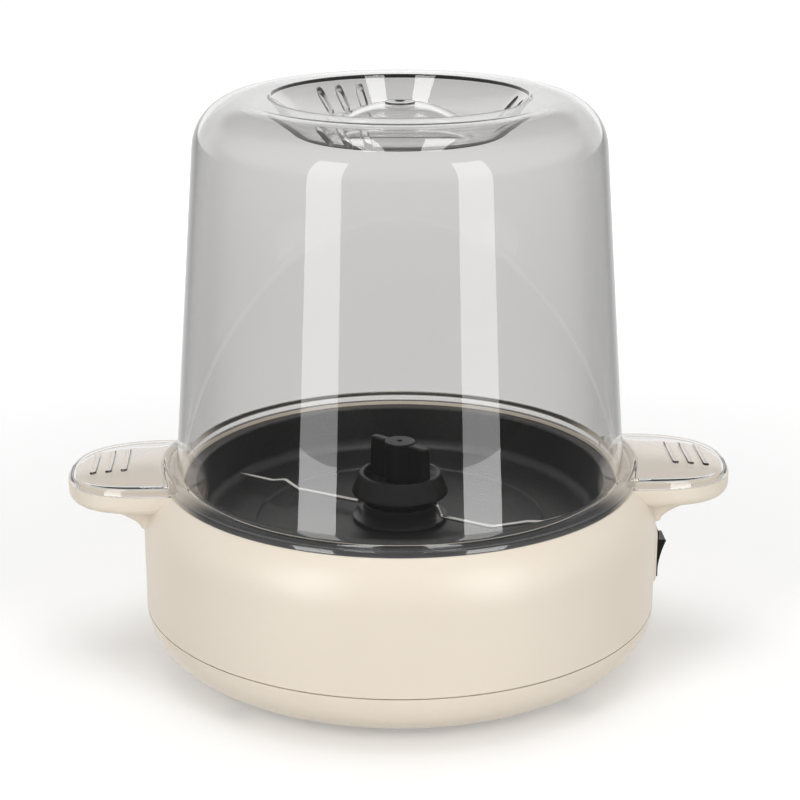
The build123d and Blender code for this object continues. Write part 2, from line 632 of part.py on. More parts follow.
def fuse_clip():
    """Strap that holds the fuse up against the pan."""
    inner = FUSE_R + SLIP
    outer = inner + FUSE_CLIP_T
    wings = Pos(0, inner - FUSE_CLIP_T / 2) * Rectangle(2 * outer + 2 * FUSE_CLIP_W, FUSE_CLIP_T)
    sides = Pos(0, inner / 2) * Rectangle(2 * outer, inner)
    room = Pos(0, inner / 2) * Rectangle(2 * inner, inner)
    section = Circle(outer) + sides + wings - Circle(inner) - room
    section &= Pos(0, inner - 2 * outer) * Rectangle(4 * outer + 4 * FUSE_CLIP_W, 4 * outer)
    return fuse_place() * extrude(Plane.XZ * section, FUSE_CLIP_W / 2, both=True)


def gear_motor():
    """Flat synchronous gear motor with two ears and a bearing boss."""
    can = disc(MOTOR_R, MOTOR_TOP_Z - MOTOR_H, MOTOR_TOP_Z)
    can = fillet(can.edges().group_by(Axis.Z)[0], EAR_T)
    body = can + disc(MOTOR_BOSS_R, MOTOR_TOP_Z, MOTOR_BOSS_TOP_Z)
    body += prism(SlotCenterToCenter(2 * EAR_PITCH_R, 2 * EAR_R), EAR_Z, MOTOR_TOP_Z)
    for side in SIDES:
        body -= around(side, EAR_PITCH_R) * disc(SCREW_R + SCREW_CLEAR, EAR_Z, MOTOR_TOP_Z)
    return body - disc(SPINDLE_R + RUN_CLEAR, MOTOR_BOSS_TOP_Z - SPINDLE_DEPTH, MOTOR_BOSS_TOP_Z)


def motor_screws():
    """Screws down through the motor's ears into the posts of the cover."""
    down = Pos(0, 0, MOTOR_TOP_Z) * Rot(180, 0, 0) * screw(EAR_T + SCREW_BITE)
    return [around(side, EAR_PITCH_R) * down for side in SIDES]


def motor_spindle():
    """Output spindle: round in the motor, with two flats in the coupling."""
    low = MOTOR_BOSS_TOP_Z - SPINDLE_DEPTH + FIT
    flats = double_d(SPINDLE_R, SPINDLE_FLAT, MOTOR_BOSS_TOP_Z, SPINDLE_TOP_Z)
    return disc(SPINDLE_R, low, MOTOR_BOSS_TOP_Z) + flats


def drive_coupling():
    """Sleeve that joins spindle and shaft by their flats."""
    body = disc(COUPLING_R, COUPLING_Z, COUPLING_TOP_Z)
    body = fillet(body.edges().filter_by(GeomType.CIRCLE), EAR_T)
    body -= double_d(SPINDLE_R + SLIP, SPINDLE_FLAT + SLIP, COUPLING_Z, SPINDLE_TOP_Z + FIT)
    return body - double_d(SHAFT_R + SLIP, SHAFT_FLAT + SLIP, SPINDLE_TOP_Z + FIT, COUPLING_TOP_Z)


def drive_shaft():
    """Shaft: flats below and above its bearing, a clip groove, and the end that takes the knob."""
    low = SPINDLE_TOP_Z + 2 * FIT
    shaft = double_d(SHAFT_R, SHAFT_FLAT, low, COUPLING_TOP_Z)
    shaft += disc(SHAFT_R, COUPLING_TOP_Z, HUB_PLATE_Z)
    shaft += double_d(SHAFT_R, SHAFT_FLAT, HUB_PLATE_Z, SHAFT_TOP_Z)
    groove = ring(SHAFT_R - CLIP_GROOVE, SHAFT_R + FIT, CLIP_Z - SLIP, CLIP_Z + CLIP_T + SLIP)
    return shaft - groove


def shaft_bush():
    """Flanged bearing bush, pushed up into the boss of the pan."""
    body = disc(BUSH_R, HUB_BOSS_Z, CHIMNEY_TOP_Z) + disc(BUSH_FLANGE_R, BUSH_FOOT_Z, HUB_BOSS_Z)
    return body - disc(SHAFT_R + RUN_CLEAR, BUSH_FOOT_Z, CHIMNEY_TOP_Z)


def shaft_clip():
    """Open retaining ring in the groove of the shaft, above the bush."""
    bore = SHAFT_R - CLIP_GROOVE + SLIP
    mouth = Pos(CLIP_R, 0, 0) * prism(Rectangle(2 * CLIP_R, CLIP_MOUTH), CLIP_Z, CLIP_Z + CLIP_T)
    return ring(bore, CLIP_R, CLIP_Z, CLIP_Z + CLIP_T) - mouth


def stir_hub():
    """Cap over the chimney, with a flange near the floor and a driven hole in its top."""
    low = PAN_FLOOR_Z + HUB_LIFT
    flange = low + HUB_FLANGE_T
    outline = [(HUB_BORE_R, low), (HUB_FLANGE_R, low), (HUB_FLANGE_R, flange), (HUB_R, flange),
               (HUB_R, HUB_TOP_Z), (0, HUB_TOP_Z), (0, HUB_PLATE_Z), (HUB_BORE_R, HUB_PLATE_Z)]
    edge = HUB_FLANGE_T / 3
    body = turned(outline, [0, 0, edge, edge, edge, 0, 0, 0])
    return body - double_d(SHAFT_R + SLIP, SHAFT_FLAT + SLIP, HUB_PLATE_Z, HUB_TOP_Z)


def stir_arm(points):
    """One arm of the wire from the eye, given as (along, sideways, height) points."""
    start = [(EYE_R, 0, WIRE_Z), (HUB_R + WIRE_BEND_R, 0, WIRE_Z)]
    return rod(start + points, WIRE_R, WIRE_BEND_R)


def stir_wire():
    """Bent wire clamped on the hub: an eye round the shaft, a sweeping arm and a long arm."""
    eye = revolve(Plane.XZ * Pos(EYE_R, WIRE_Z) * Circle(WIRE_R), Axis.Z)
    drop = HUB_R + WIRE_DROP_R
    low = PAN_FLOOR_Z + WIRE_LIFT
    raised = PAN_FLOOR_Z + WIRE_RAISED
    sweep_arm = [(drop, 0, low), (SWEEP_BEND, 0, low - WIRE_R / 2), (SWEEP_KNEE, SWEEP_SIDE, raised),
                 (SWEEP_TIP, SWEEP_TIP_SIDE, raised + WIRE_R)]
    reach_arm = [(drop, 0, low), (REACH_BEND, 0, low + WIRE_R / 3), (REACH_HUMP, 0, raised + WIRE_R),
                 (2 * REACH_HUMP - REACH_BEND, 0, raised - WIRE_R / 2), (REACH_TIP, 0, raised)]
    wire = eye + stir_arm(sweep_arm) + Rot(0, 0, 180) * stir_arm(reach_arm)
    return Rot(0, 0, WIRE_ANGLE) * wire


def knob_washer():
    """Flat washer between the eye of the wire and the knob."""
    return ring(SHAFT_R + RUN_CLEAR, WASHER_R, WASHER_Z, KNOB_Z)


def stir_knob():
    """Clamping knob: flared skirt, bowl, boss and a grip bar across it, cored from below."""
    rim = KNOB_Z + KNOB_SKIRT_H
    bowl = KNOB_Z + KNOB_BOWL_H
    top = KNOB_Z + KNOB_H
    slope = KNOB_RIM_R - KNOB_RIM_T - KNOB_BOWL_R
    outline = [(0, KNOB_Z), (KNOB_FOOT_R, KNOB_Z), (KNOB_SKIRT_R, KNOB_Z + KNOB_FOOT_H), (KNOB_RIM_R, rim),
               (KNOB_RIM_R - KNOB_RIM_T, rim), (KNOB_BOWL_R, bowl), (KNOB_BOSS_R, bowl),
               (KNOB_BOSS_R, top), (0, top)]
    edge = KNOB_RIM_T / 3
    body = turned(outline, [0, edge, 2 * edge, edge, edge, slope, 0, edge, 0])
    plan = Pos(0, 0, bowl) * RectangleRounded(GRIP_L, GRIP_T, GRIP_END_R)
    bar = extrude(plan, KNOB_H - KNOB_BOWL_H - edge, taper=GRIP_DRAFT)
    bar = fillet(bar.faces().sort_by(Axis.Z)[-1].edges(), GRIP_EDGE_R)
    body += Rot(0, 0, GRIP_ANGLE) * bar
    body -= Pos(0, 0, top) * Sphere(KNOB_DIMPLE_R)
    body -= disc(INSERT_R, KNOB_Z, KNOB_Z + INSERT_H)
    body -= disc(SHAFT_R + RUN_CLEAR, KNOB_Z, SHAFT_TOP_Z + THREAD_ROOM)
    return body - ring(WASHER_R, KNOB_FOOT_R - KNOB_RIM_T, KNOB_Z, bowl - KNOB_RIM_T)


def knob_insert():
    """Brass insert in the foot of the knob."""
    return ring(SHAFT_R + RUN_CLEAR, INSERT_R, KNOB_Z, KNOB_Z + INSERT_H)


def switch_case():
    """Switch body with its bezel, open in front and with two pivot holes."""
    back = PAD_X - CASE_DEPTH
    body = facing_right(Rectangle(CASE_W, CASE_H), back, CASE_DEPTH)
    body += facing_right(RectangleRounded(BEZEL_W, BEZEL_H, BEZEL_R), PAD_X, BEZEL_T)
    mouth = Rectangle(ROCKER_W + 2 * SIDE_GAP, CASE_H - 2 * CASE_WALL)
    body -= facing_right(mouth, back + CASE_BACK, CASE_DEPTH + BEZEL_T)
    hole = Cylinder(PIVOT_R + RUN_CLEAR, ROCKER_W + 2 * PIVOT_L + 2 * SLIP)
    return body - Pos(PIVOT_X, 0, SWITCH_Z) * Rot(90, 0, 0) * hole


def switch_terminals():
    """Two blades out of the back of the switch."""
    back = PAD_X - CASE_DEPTH
    blade = facing_right(Rectangle(BLADE_W, BLADE_T), back - BLADE_L, BLADE_L)
    return [blade, Pos(0, 0, -BLADE_PITCH) * blade]


def switch_rocker():
    """Rocker with a hollow face on two pivot stubs, top standing out at rest."""
    top = (ROCKER_FACE, ROCKER_HALF_L)
    bottom = (ROCKER_FACE, -ROCKER_HALF_L)
    face = ThreePointArc(bottom, (ROCKER_FACE - ROCKER_SAG, 0), top)
    back = Polyline(top, (-ROCKER_BACK, ROCKER_BACK_HALF_L), (-ROCKER_BACK, -ROCKER_BACK_HALF_L), bottom)
    body = extrude(Plane.XZ * make_face(face + back), ROCKER_W / 2, both=True)
    body = fillet(body.edges().filter_by(Axis.Y).sort_by(Axis.X)[-2:], ROCKER_EDGE_R)
    body += Rot(90, 0, 0) * Cylinder(PIVOT_R, ROCKER_W + 2 * PIVOT_L)
    return Pos(PIVOT_X, 0, SWITCH_Z) * Rot(0, ROCKER_TILT, 0) * body


def cord_gland():
    """Flanged sleeve in the back wall, where the mains lead goes in."""
    inner = GLAND_SEAT_Y - GLAND_SEAT_T - GLAND_NUT_T
    body = disc(GLAND_R, inner, GLAND_SEAT_Y)
    body += disc(GLAND_FLANGE_R, GLAND_SEAT_Y, GLAND_SEAT_Y + GLAND_FLANGE_T)
    return across_back(body - disc(GLAND_BORE_R, inner, BODY_R))


def gland_nut():
    """Hexagon nut that holds the gland from inside."""
    high = GLAND_SEAT_Y - GLAND_SEAT_T
    flats = prism(RegularPolygon(GLAND_FLANGE_R, 6), high - GLAND_NUT_T, high)
    return across_back(flats - disc(GLAND_R + SLIP, high - GLAND_NUT_T, high))


def terminal_block():
    """Three-way terminal block with ports to both sides and its clamping screws."""
    body = Pos(0, BLOCK_Y, 0) * prism(RectangleRounded(BLOCK_L, BLOCK_W, BLADE_T), BLOCK_Z, BLOCK_Z + BLOCK_H)
    port = Rot(90, 0, 0) * Cylinder(LEAD_R + SLIP, BLOCK_PORT_L * 2)
    for place in (-BLOCK_PITCH, 0, BLOCK_PITCH):
        for side in (-BLOCK_W / 2, BLOCK_W / 2):
            body -= Pos(place, BLOCK_Y + side, PORT_Z) * port
        body -= Pos(place, BLOCK_Y, BLOCK_Z + BLOCK_H) * Cylinder(SCREW_R, BLOCK_H / 2)
    return body


def inner_leads():
    """Insulated leads between block, switch, thermostat, heater, fuse and motor."""
    port = BLOCK_Y - BLOCK_W / 2 + BLOCK_PORT_L
    clear = BLOCK_Y - BLOCK_W
    blade = PAD_X - CASE_DEPTH - BLADE_L
    stat = [around(STAT_ANGLE, STAT_CIRCLE_R + side).position for side in (-STAT_R / 2, STAT_R / 2)]
    pins = [around(angle, HEATER_R).position for angle in LEG_ANGLES]
    tails = [(fuse_place() * Pos(0, side, 0)).position for side in (-TAIL_REACH, TAIL_REACH)]
    blade_z = STAT_Z - BLADE_W
    pin_z = LEG_Z - PIN_L
    low = SWITCH_Z - BLADE_PITCH
    bay = EAR_PITCH_R + EAR_R + 2 * LEAD_BEND
    routes = [
        [(BLOCK_PITCH, port, PORT_Z), (BLOCK_PITCH, clear, PORT_Z), (bay, MOTOR_R, MOTOR_TOP_Z),
         (blade - 2 * LEAD_BEND, 0, SWITCH_Z), (blade, 0, SWITCH_Z)],
        [(blade, 0, low), (blade - 2 * LEAD_BEND, 0, low), (bay, COUPLING_R, low),
         (stat[0].X, stat[0].Y, low), (stat[0].X, stat[0].Y, blade_z)],
        [(stat[1].X, stat[1].Y, blade_z), (stat[1].X, stat[1].Y, pin_z - LEAD_BEND),
         (pins[0].X, pins[0].Y, pin_z - 2 * LEAD_BEND), (pins[0].X, pins[0].Y, pin_z)],
        [(pins[1].X, pins[1].Y, pin_z), (pins[1].X, pins[1].Y, pin_z - 2 * LEAD_BEND),
         (-bay, MOTOR_R, MOTOR_TOP_Z), (-bay, -MOTOR_R, low),
         (tails[0].X, tails[0].Y, low), (tails[0].X, tails[0].Y, TAIL_Z)],
        [(tails[1].X, tails[1].Y, TAIL_Z), (tails[1].X, tails[1].Y, low),
         (-bay, -2 * MOTOR_R, low - LEAD_BEND), (-HEATER_R - LEAD_BEND, 0, MOTOR_TOP_Z - LEAD_BEND),
         (-bay, clear - LEAD_BEND, PORT_Z), (-BLOCK_PITCH, clear, PORT_Z), (-BLOCK_PITCH, port, PORT_Z)],
        [(0, MOTOR_R, MOTOR_TOP_Z - MOTOR_H / 2), (0, (MOTOR_R + clear) / 2, MOTOR_TOP_Z - MOTOR_H / 2),
         (0, clear, PORT_Z), (0, port, PORT_Z)],
    ]
    return [rod(route, LEAD_R, LEAD_BEND / 2) for route in routes]


def dome_side(inset):
    """Corners and signed roundings of the dome from its foot to the axis, set in by a wall."""
    trough = DOME_TOP_Z - WELL_DEPTH
    lean = tan(radians(DOME_DRAFT))
    foot_z = SEAT_Z + FLANGE_T
    corners = [Vector(DOME_FOOT_R, foot_z), Vector(DOME_FOOT_R - lean * (DOME_TOP_Z - foot_z), DOME_TOP_Z),
               Vector(WELL_R, DOME_TOP_Z), Vector(TROUGH_OUT_R, trough), Vector(TROUGH_IN_R, trough),
               Vector(HILL_SHOULDER_R, trough + HILL_SHOULDER_H), Vector(0, trough + HILL_H)]
    rounds = [DOME_CORNER_R, WELL_RIM_R, -TROUGH_FILLET, -TROUGH_FILLET, HILL_ROUND_R]
    middle = Vector(-HILL_SHOULDER_R, trough + HILL_SHOULDER_H)
    points = []
    for before, corner, after in zip(corners, corners[1:], corners[2:] + [middle]):
        first = (corner - before).normalized().rotate(Axis.Z, 90)
        second = (after - corner).normalized().rotate(Axis.Z, 90)
        points.append(corner + (first + second) * (inset / (1 + first.dot(second))))
    return [(point.X, point.Y) for point in points], [abs(radius - inset) for radius in rounds]


def dome_outside():
    """Solid inside the dome's outer face, flange included."""
    points, radii = dome_side(0)
    flange = SEAT_Z + FLANGE_T
    base = [(0, SEAT_Z), (FLANGE_R, SEAT_Z), (FLANGE_R, flange), (DOME_FOOT_R, flange)]
    return turned(base + points, [0, 0, FLANGE_EDGE_R, FLANGE_ROOT_R] + radii + [0])


def dome_inside():
    """Solid of the space under the dome."""
    points, radii = dome_side(DOME_WALL)
    lean = radians(DOME_DRAFT)
    foot = DOME_FOOT_R - DOME_WALL / cos(lean) + FLANGE_T * tan(lean)
    return turned([(0, SEAT_Z), (foot, SEAT_Z)] + points, [0, 0] + radii + [0])


def crown(place):
    """Height of a tab's crown at a distance from the axis."""
    away = place - SEAT_R
    return SEAT_Z + TAB_H - TAB_VAULT_R + sqrt(TAB_VAULT_R**2 - away**2)


def vault(rise):
    """Ball whose top is a tab's crown, raised by an amount."""
    return Pos(SEAT_R, 0, SEAT_Z + TAB_H - TAB_VAULT_R) * Rot(90, 0, 0) * Sphere(TAB_VAULT_R + rise)


def tab_solid(inset):
    """Tab over a handle, set in by a wall: the handle's plan under a spherical crown."""
    return prism(tongue_plan(TAB_INSET + inset), SEAT_Z, SEAT_Z + 2 * TAB_H) & vault(-inset)


def dome_tab():
    """Grip tab of the dome, hollow below outside the flange, with ribs across its crown."""
    solid = tab_solid(0)
    edges = solid.faces().sort_by(Axis.Z)[-1].edges().sort_by(Axis.X)[1:]
    hollow = tab_solid(TAB_WALL) - disc(FLANGE_R, SEAT_Z, SEAT_Z + TAB_H)
    tab = fillet(edges, TAB_EDGE_R) - hollow
    tab -= disc(DOME_FOOT_R + TAB_ROOT, SEAT_Z + FLANGE_T, SEAT_Z + TAB_H)
    for turn in range(RIB_COUNT):
        place = HANDLE_TIP - RIB_FIRST - turn * RIB_STEP
        rib = Pos(place, 0, 0) * SlotOverall(RIB_L, RIB_W, rotation=90)
        tab += prism(rib, crown(place) - TAB_WALL / 2, crown(place) + RIB_H) & vault(RIB_H)
    return tab


def dome_moulding():
    """Clear dome: drafted wall, flange, drained well with a hill, drip slots and two tabs."""
    body = dome_outside() + [Rot(0, 0, side) * dome_tab() for side in SIDES]
    hill = DOME_TOP_Z - WELL_DEPTH + HILL_H
    body += disc(GATE_R, hill - DOME_WALL / 2, hill + GATE_H)
    body -= dome_inside()
    body -= Pos(0, 0, hill + GATE_H + GATE_DIMPLE_R / 2) * Sphere(GATE_DIMPLE_R)
    slot = prism(SlotOverall(SLOT_OUT_R - SLOT_IN_R, SLOT_W), SEAT_Z, DOME_TOP_Z)
    for group in range(SLOT_GROUPS):
        for turn in range(SLOTS_PER_GROUP):
            angle = group * 360 / SLOT_GROUPS + (turn - (SLOTS_PER_GROUP - 1) / 2) * SLOT_STEP
            body -= around(angle, (SLOT_IN_R + SLOT_OUT_R) / 2) * slot
    return body


DOME = dome_moulding()
WELL_SPACE = disc(WELL_JOINT_R, SEAT_Z, DOME_TOP_Z)


def dome_cover():
    """Wall, flange and tabs of the dome, open in the top for the well."""
    return DOME - WELL_SPACE


def well_dish():
    """Well of the dome, welded into its top."""
    return DOME & WELL_SPACE


PIECES = {
    "upper_housing": upper_housing(),
    "bottom_cover": bottom_cover(),
    "cover_screws": cover_screws(),
    "pan": pan(),
    "heating_element": heating_element(),
    "heat_shield": heat_shield(),
    "bracket_screws": bracket_screws(),
    "thermostat": thermostat(),
    "thermal_fuse": thermal_fuse(),
    "fuse_clip": fuse_clip(),
    "gear_motor": gear_motor(),
    "motor_screws": motor_screws(),
    "motor_spindle": motor_spindle(),
    "drive_coupling": drive_coupling(),
    "drive_shaft": drive_shaft(),
    "shaft_bush": shaft_bush(),
    "shaft_clip": shaft_clip(),
    "stir_hub": stir_hub(),
    "stir_wire": stir_wire(),
    "knob_washer": knob_washer(),
    "stir_knob": stir_knob(),
    "knob_insert": knob_insert(),
    "switch_case": switch_case(),
    "switch_terminals": switch_terminals(),
    "switch_rocker": switch_rocker(),
    "cord_gland": cord_gland(),
    "gland_nut": gland_nut(),
    "terminal_block": terminal_block(),
    "inner_leads": inner_leads(),
    "dome_cover": dome_cover(),
    "well_dish": well_dish(),
}
for count, angle in enumerate(COVER_ANGLES, 1):
    PIECES[f"foot_{count}"] = rubber_foot(angle)
for count, angle in enumerate(BRACKET_ANGLES, 1):
    PIECES[f"pan_bracket_{count}"] = pan_bracket(angle)

os.makedirs("parts", exist_ok=True)
for node, shape in PIECES.items():
    solid = Compound(children=shape) if isinstance(shape, list) else shape
    export_step(solid, f"parts/{node}.step")
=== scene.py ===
"""Popcorn maker with a clear dome over a stirred pan: finishes, clear moulding and studio."""

import math

import bpy
import numpy as np
from bpy.props import FloatProperty, FloatVectorProperty, IntProperty, PointerProperty
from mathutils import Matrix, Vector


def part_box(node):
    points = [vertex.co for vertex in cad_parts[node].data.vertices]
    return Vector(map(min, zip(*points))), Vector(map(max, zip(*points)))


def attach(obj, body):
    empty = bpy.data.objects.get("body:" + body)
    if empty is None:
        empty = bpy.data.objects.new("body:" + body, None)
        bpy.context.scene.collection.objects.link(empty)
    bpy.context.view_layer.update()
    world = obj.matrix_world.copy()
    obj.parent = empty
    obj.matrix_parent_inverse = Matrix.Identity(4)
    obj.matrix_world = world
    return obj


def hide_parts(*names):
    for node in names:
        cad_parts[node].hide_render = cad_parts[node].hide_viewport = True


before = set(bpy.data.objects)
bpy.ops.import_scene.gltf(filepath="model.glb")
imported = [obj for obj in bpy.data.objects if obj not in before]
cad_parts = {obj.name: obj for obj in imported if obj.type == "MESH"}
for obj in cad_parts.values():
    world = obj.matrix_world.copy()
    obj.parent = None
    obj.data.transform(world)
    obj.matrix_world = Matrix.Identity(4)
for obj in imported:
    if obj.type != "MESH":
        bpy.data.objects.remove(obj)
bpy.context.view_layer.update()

bl_info = {
    "name": "Popcorn maker",
    "version": (1, 0, 0),
    "blender": (4, 5, 0),
    "location": "View3D > Sidebar > Popcorn maker",
    "description": "Dresses a popcorn maker: cream base, stirred pan, clear dome and studio",
    "category": "Object",
}

MM = 0.001
DOME_LOW, DOME_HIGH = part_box("dome_cover")
SEAT = DOME_LOW.z                # dome seat above the table
TOP = DOME_HIGH.z
FLANGE = DOME_HIGH.y             # radius of the dome's flange
TAB_TIP = DOME_HIGH.x

# Well and hill in the top of the dome, with the mark of the mould's gate on the hill
TROUGH_OUTER_R = 40 * MM
TROUGH_INNER_R = 29 * MM
SHOULDER_R = 18 * MM             # shoulder of the hill
SHOULDER_RISE = 8.4 * MM         # above the trough
GATE_R = 6.1 * MM
GATE_RISE = 0.2 * MM             # above the top of the hill
GATE_FOOT = 0.61 * MM            # fall of the hill at the gate's edge
DIMPLE_R = 2.3 * MM
DIMPLE_DEPTH = 0.9 * MM

# Roundings of the dome's profile
DIMPLE_ROUND = 0.6 * MM
GATE_ROUND = 0.1 * MM
SHOULDER_ROUND = 38 * MM
TROUGH_ROUND = 5 * MM
RIM_ROUND = 1.7 * MM
FOOT_ROUND = 4.3 * MM            # between wall and flange
FLANGE_ROUND = 0.7 * MM
EDGE_ROUND = 0.3 * MM
ARC_STEPS = 10
LEAST_RINGS = 50                 # rings of faces that a whole dome has at least

# Grip tabs of the dome
TAB_CORE = 103.5 * MM            # where the straight sides end
TAB_HALF = 30.8 * MM             # half the width
TAB_FULLNESS = 0.69              # how square the rounded end is
TAB_EDGE = 2.4 * MM              # rounding of the upper edge
TAB_WALL = 2.2 * MM
TAB_INNER_EDGE = 0.8 * MM        # rounding in the hollow
TAB_ROOT = FLANGE - 2.7 * MM
TAB_HOLLOW_ROOT = FLANGE - 2.0 * MM
TAB_MIDDLE = np.array((119 * MM, 0))
TAB_LIFT = 0.06 * MM             # underside above the flange's
CROWN_R = 245 * MM
CROWN_RISE = 6.5 * MM            # above the seat
CROWN_OUT = 0.5 * MM             # middle of the crown outside the flange

# Grip ribs on a tab; the section is (inset, rise) in mm from the top down
RIBS = 3
RIB_FROM_TIP = 10.8 * MM
RIB_PITCH = 6.5 * MM
RIB_LENGTH = 27 * MM
RIB_WIDTH = 2.8 * MM
RIB_SECTION = ((0.8, 0.7), (0.4, 0.65), (0.12, 0.5), (0, 0.25), (0, -1.0))

# Drip slots in the slope of the well, three in each group
SLOT_GROUPS = 3
SLOT_TURN = 11.5                 # degrees between neighbours
SLOT_AT = 45.7 * MM              # middle of a slot from the axis
SLOT_LENGTH = 9 * MM
SLOT_WIDTH = 3.4 * MM
SLOT_END_STEPS = 12
CUT_ABOVE = 5 * MM               # reach of the cutter from the dome's top
CUT_BELOW = 25 * MM

# Painted reflection on the seat under the foot of the dome: a dark ring that stands in for the dark pan as
# the clear flange shows it
REFLECTION_RING_INSIDE = 92.45 * MM
REFLECTION_RING_FROM_EDGE = 0.7 * MM
REFLECTION_RING_BELOW = 0.3 * MM            # paint starts below the seat
REFLECTION_RING_FADE = (0.3, 0.35), (0.6, 1.0)   # |y| / r and strength, at the sides and towards the front

# Kinds of ray that pass a lamp by
LIGHTS_ONLY = ("camera", "transmission", "glossy")
MIRRORED_ONLY = ("camera", "transmission", "diffuse")

# Lamps, floor and camera, with lengths in metres
SOFT_SIZE = (1.0, 1.0)
TOP_LIGHT = (0, 0, 1.5)
BACK_LIGHT = (0, 1.2, 0.75)
BACK_TILT = math.radians(65)
PANEL_SIZE = (0.2, 0.7)
PANEL_OUT, PANEL_BACK, PANEL_UP = 0.26, -0.2, 1.45
IMAGE_GAP = 10 * MM              # a strip's lamp stands behind its image
FLOOR_R = 6.0
FLOOR_SIDES = 96
SENSOR_MM = 36.0
WHITE = (1, 1, 1, 1)

# Nodes by finish
CREAM = ("upper_housing", "bottom_cover")
SATIN_BLACK = ("stir_knob", "cord_gland", "gland_nut", "drive_coupling")
GLOSS_BLACK = ("stir_hub",)
SWITCH = ("switch_case", "switch_rocker")
WIRE = ("stir_wire", "shaft_clip", "knob_washer", "drive_shaft", "motor_spindle")
SHEET = ("heat_shield", "pan_bracket_1", "pan_bracket_2", "pan_bracket_3", "fuse_clip", "thermal_fuse")
SCREWS = ("cover_screws", "bracket_screws", "motor_screws")
BRASS = ("knob_insert", "shaft_bush", "switch_terminals")
BLOCK = ("terminal_block", "thermostat")
FEET = ("foot_1", "foot_2", "foot_3", "foot_4")


class DomeSizes(bpy.types.PropertyGroup):
    """Sizes of the clear dome."""
    wall: FloatProperty(name="Wall", description="Thickness of the clear wall",
                        default=2.3 * MM, unit="LENGTH")
    draft: FloatProperty(name="Draft", description="Lean of the wall",
                         default=math.radians(4.36), subtype="ANGLE")
    corner: FloatProperty(name="Corner", description="Rounding of the top corner",
                          default=21 * MM, unit="LENGTH")
    flange_width: FloatProperty(name="Flange width", description="Flange outside the wall",
                                default=5.3 * MM, unit="LENGTH")
    flange: FloatProperty(name="Flange", description="Thickness of the flange",
                          default=2.4 * MM, unit="LENGTH")
    bite: FloatProperty(name="Bite", description="How far the flange sinks into its seat",
                        default=0.02 * MM, unit="LENGTH")
    well: FloatProperty(name="Well", description="Radius of the well's rim",
                        default=52.7 * MM, unit="LENGTH")
    depth: FloatProperty(name="Well depth", description="From the top down to the trough",
                         default=12.9 * MM, unit="LENGTH")
    hill: FloatProperty(name="Hill", description="Height of the hill above the trough",
                        default=10.2 * MM, unit="LENGTH")
    sides: IntProperty(name="Sides", description="Divisions round the dome", default=256)


class Finishes(bpy.types.PropertyGroup):
    """Colours of the finishes, in linear light."""
    cream: FloatVectorProperty(name="Cream", description="Housing and cover", subtype="COLOR",
                               default=(0.82, 0.735, 0.62))
    # Black is the hub's and the switch's own colour, and also the colour of the painted reflection on the
    # seat
    black: FloatVectorProperty(name="Black", description="Hub, switch and the ring on the seat",
                               subtype="COLOR", default=(0.009, 0.009, 0.0095))
    knob: FloatVectorProperty(name="Knob", description="Clamping knob and gland", subtype="COLOR",
                              default=(0.0035, 0.0035, 0.0037))
    coating: FloatVectorProperty(name="Coating", description="Non-stick coating of the pan",
                                 subtype="COLOR", default=(0.007, 0.007, 0.0074))
    speck: FloatVectorProperty(name="Speck", description="Specks in the coating", subtype="COLOR",
                               default=(0.07, 0.07, 0.07))
    clear: FloatVectorProperty(name="Clear", description="Tint of the clear dome", subtype="COLOR",
                               default=(0.972, 0.966, 0.961))
    shadow: FloatVectorProperty(name="Clear shadow", description="Light that falls through the dome",
                                subtype="COLOR", default=(0.95, 0.945, 0.94))
    steel: FloatVectorProperty(name="Steel", description="Bare steel", subtype="COLOR",
                               default=(0.72, 0.71, 0.69))
    heater: FloatVectorProperty(name="Heater", description="Dull steel of the heating element",
                                subtype="COLOR", default=(0.25, 0.24, 0.23))
    brass: FloatVectorProperty(name="Brass", description="Insert, bush and terminals",
                               subtype="COLOR", default=(0.72, 0.52, 0.22))
    block: FloatVectorProperty(name="Block", description="Terminal block and thermostat",
                               subtype="COLOR", default=(0.62, 0.60, 0.56))
    lead: FloatVectorProperty(name="Lead", description="Sleeves of the inner leads", subtype="COLOR",
                              default=(0.25, 0.05, 0.03))
    foot: FloatVectorProperty(name="Foot", description="Rubber of the feet", subtype="COLOR",
                              default=(0.03, 0.03, 0.03))


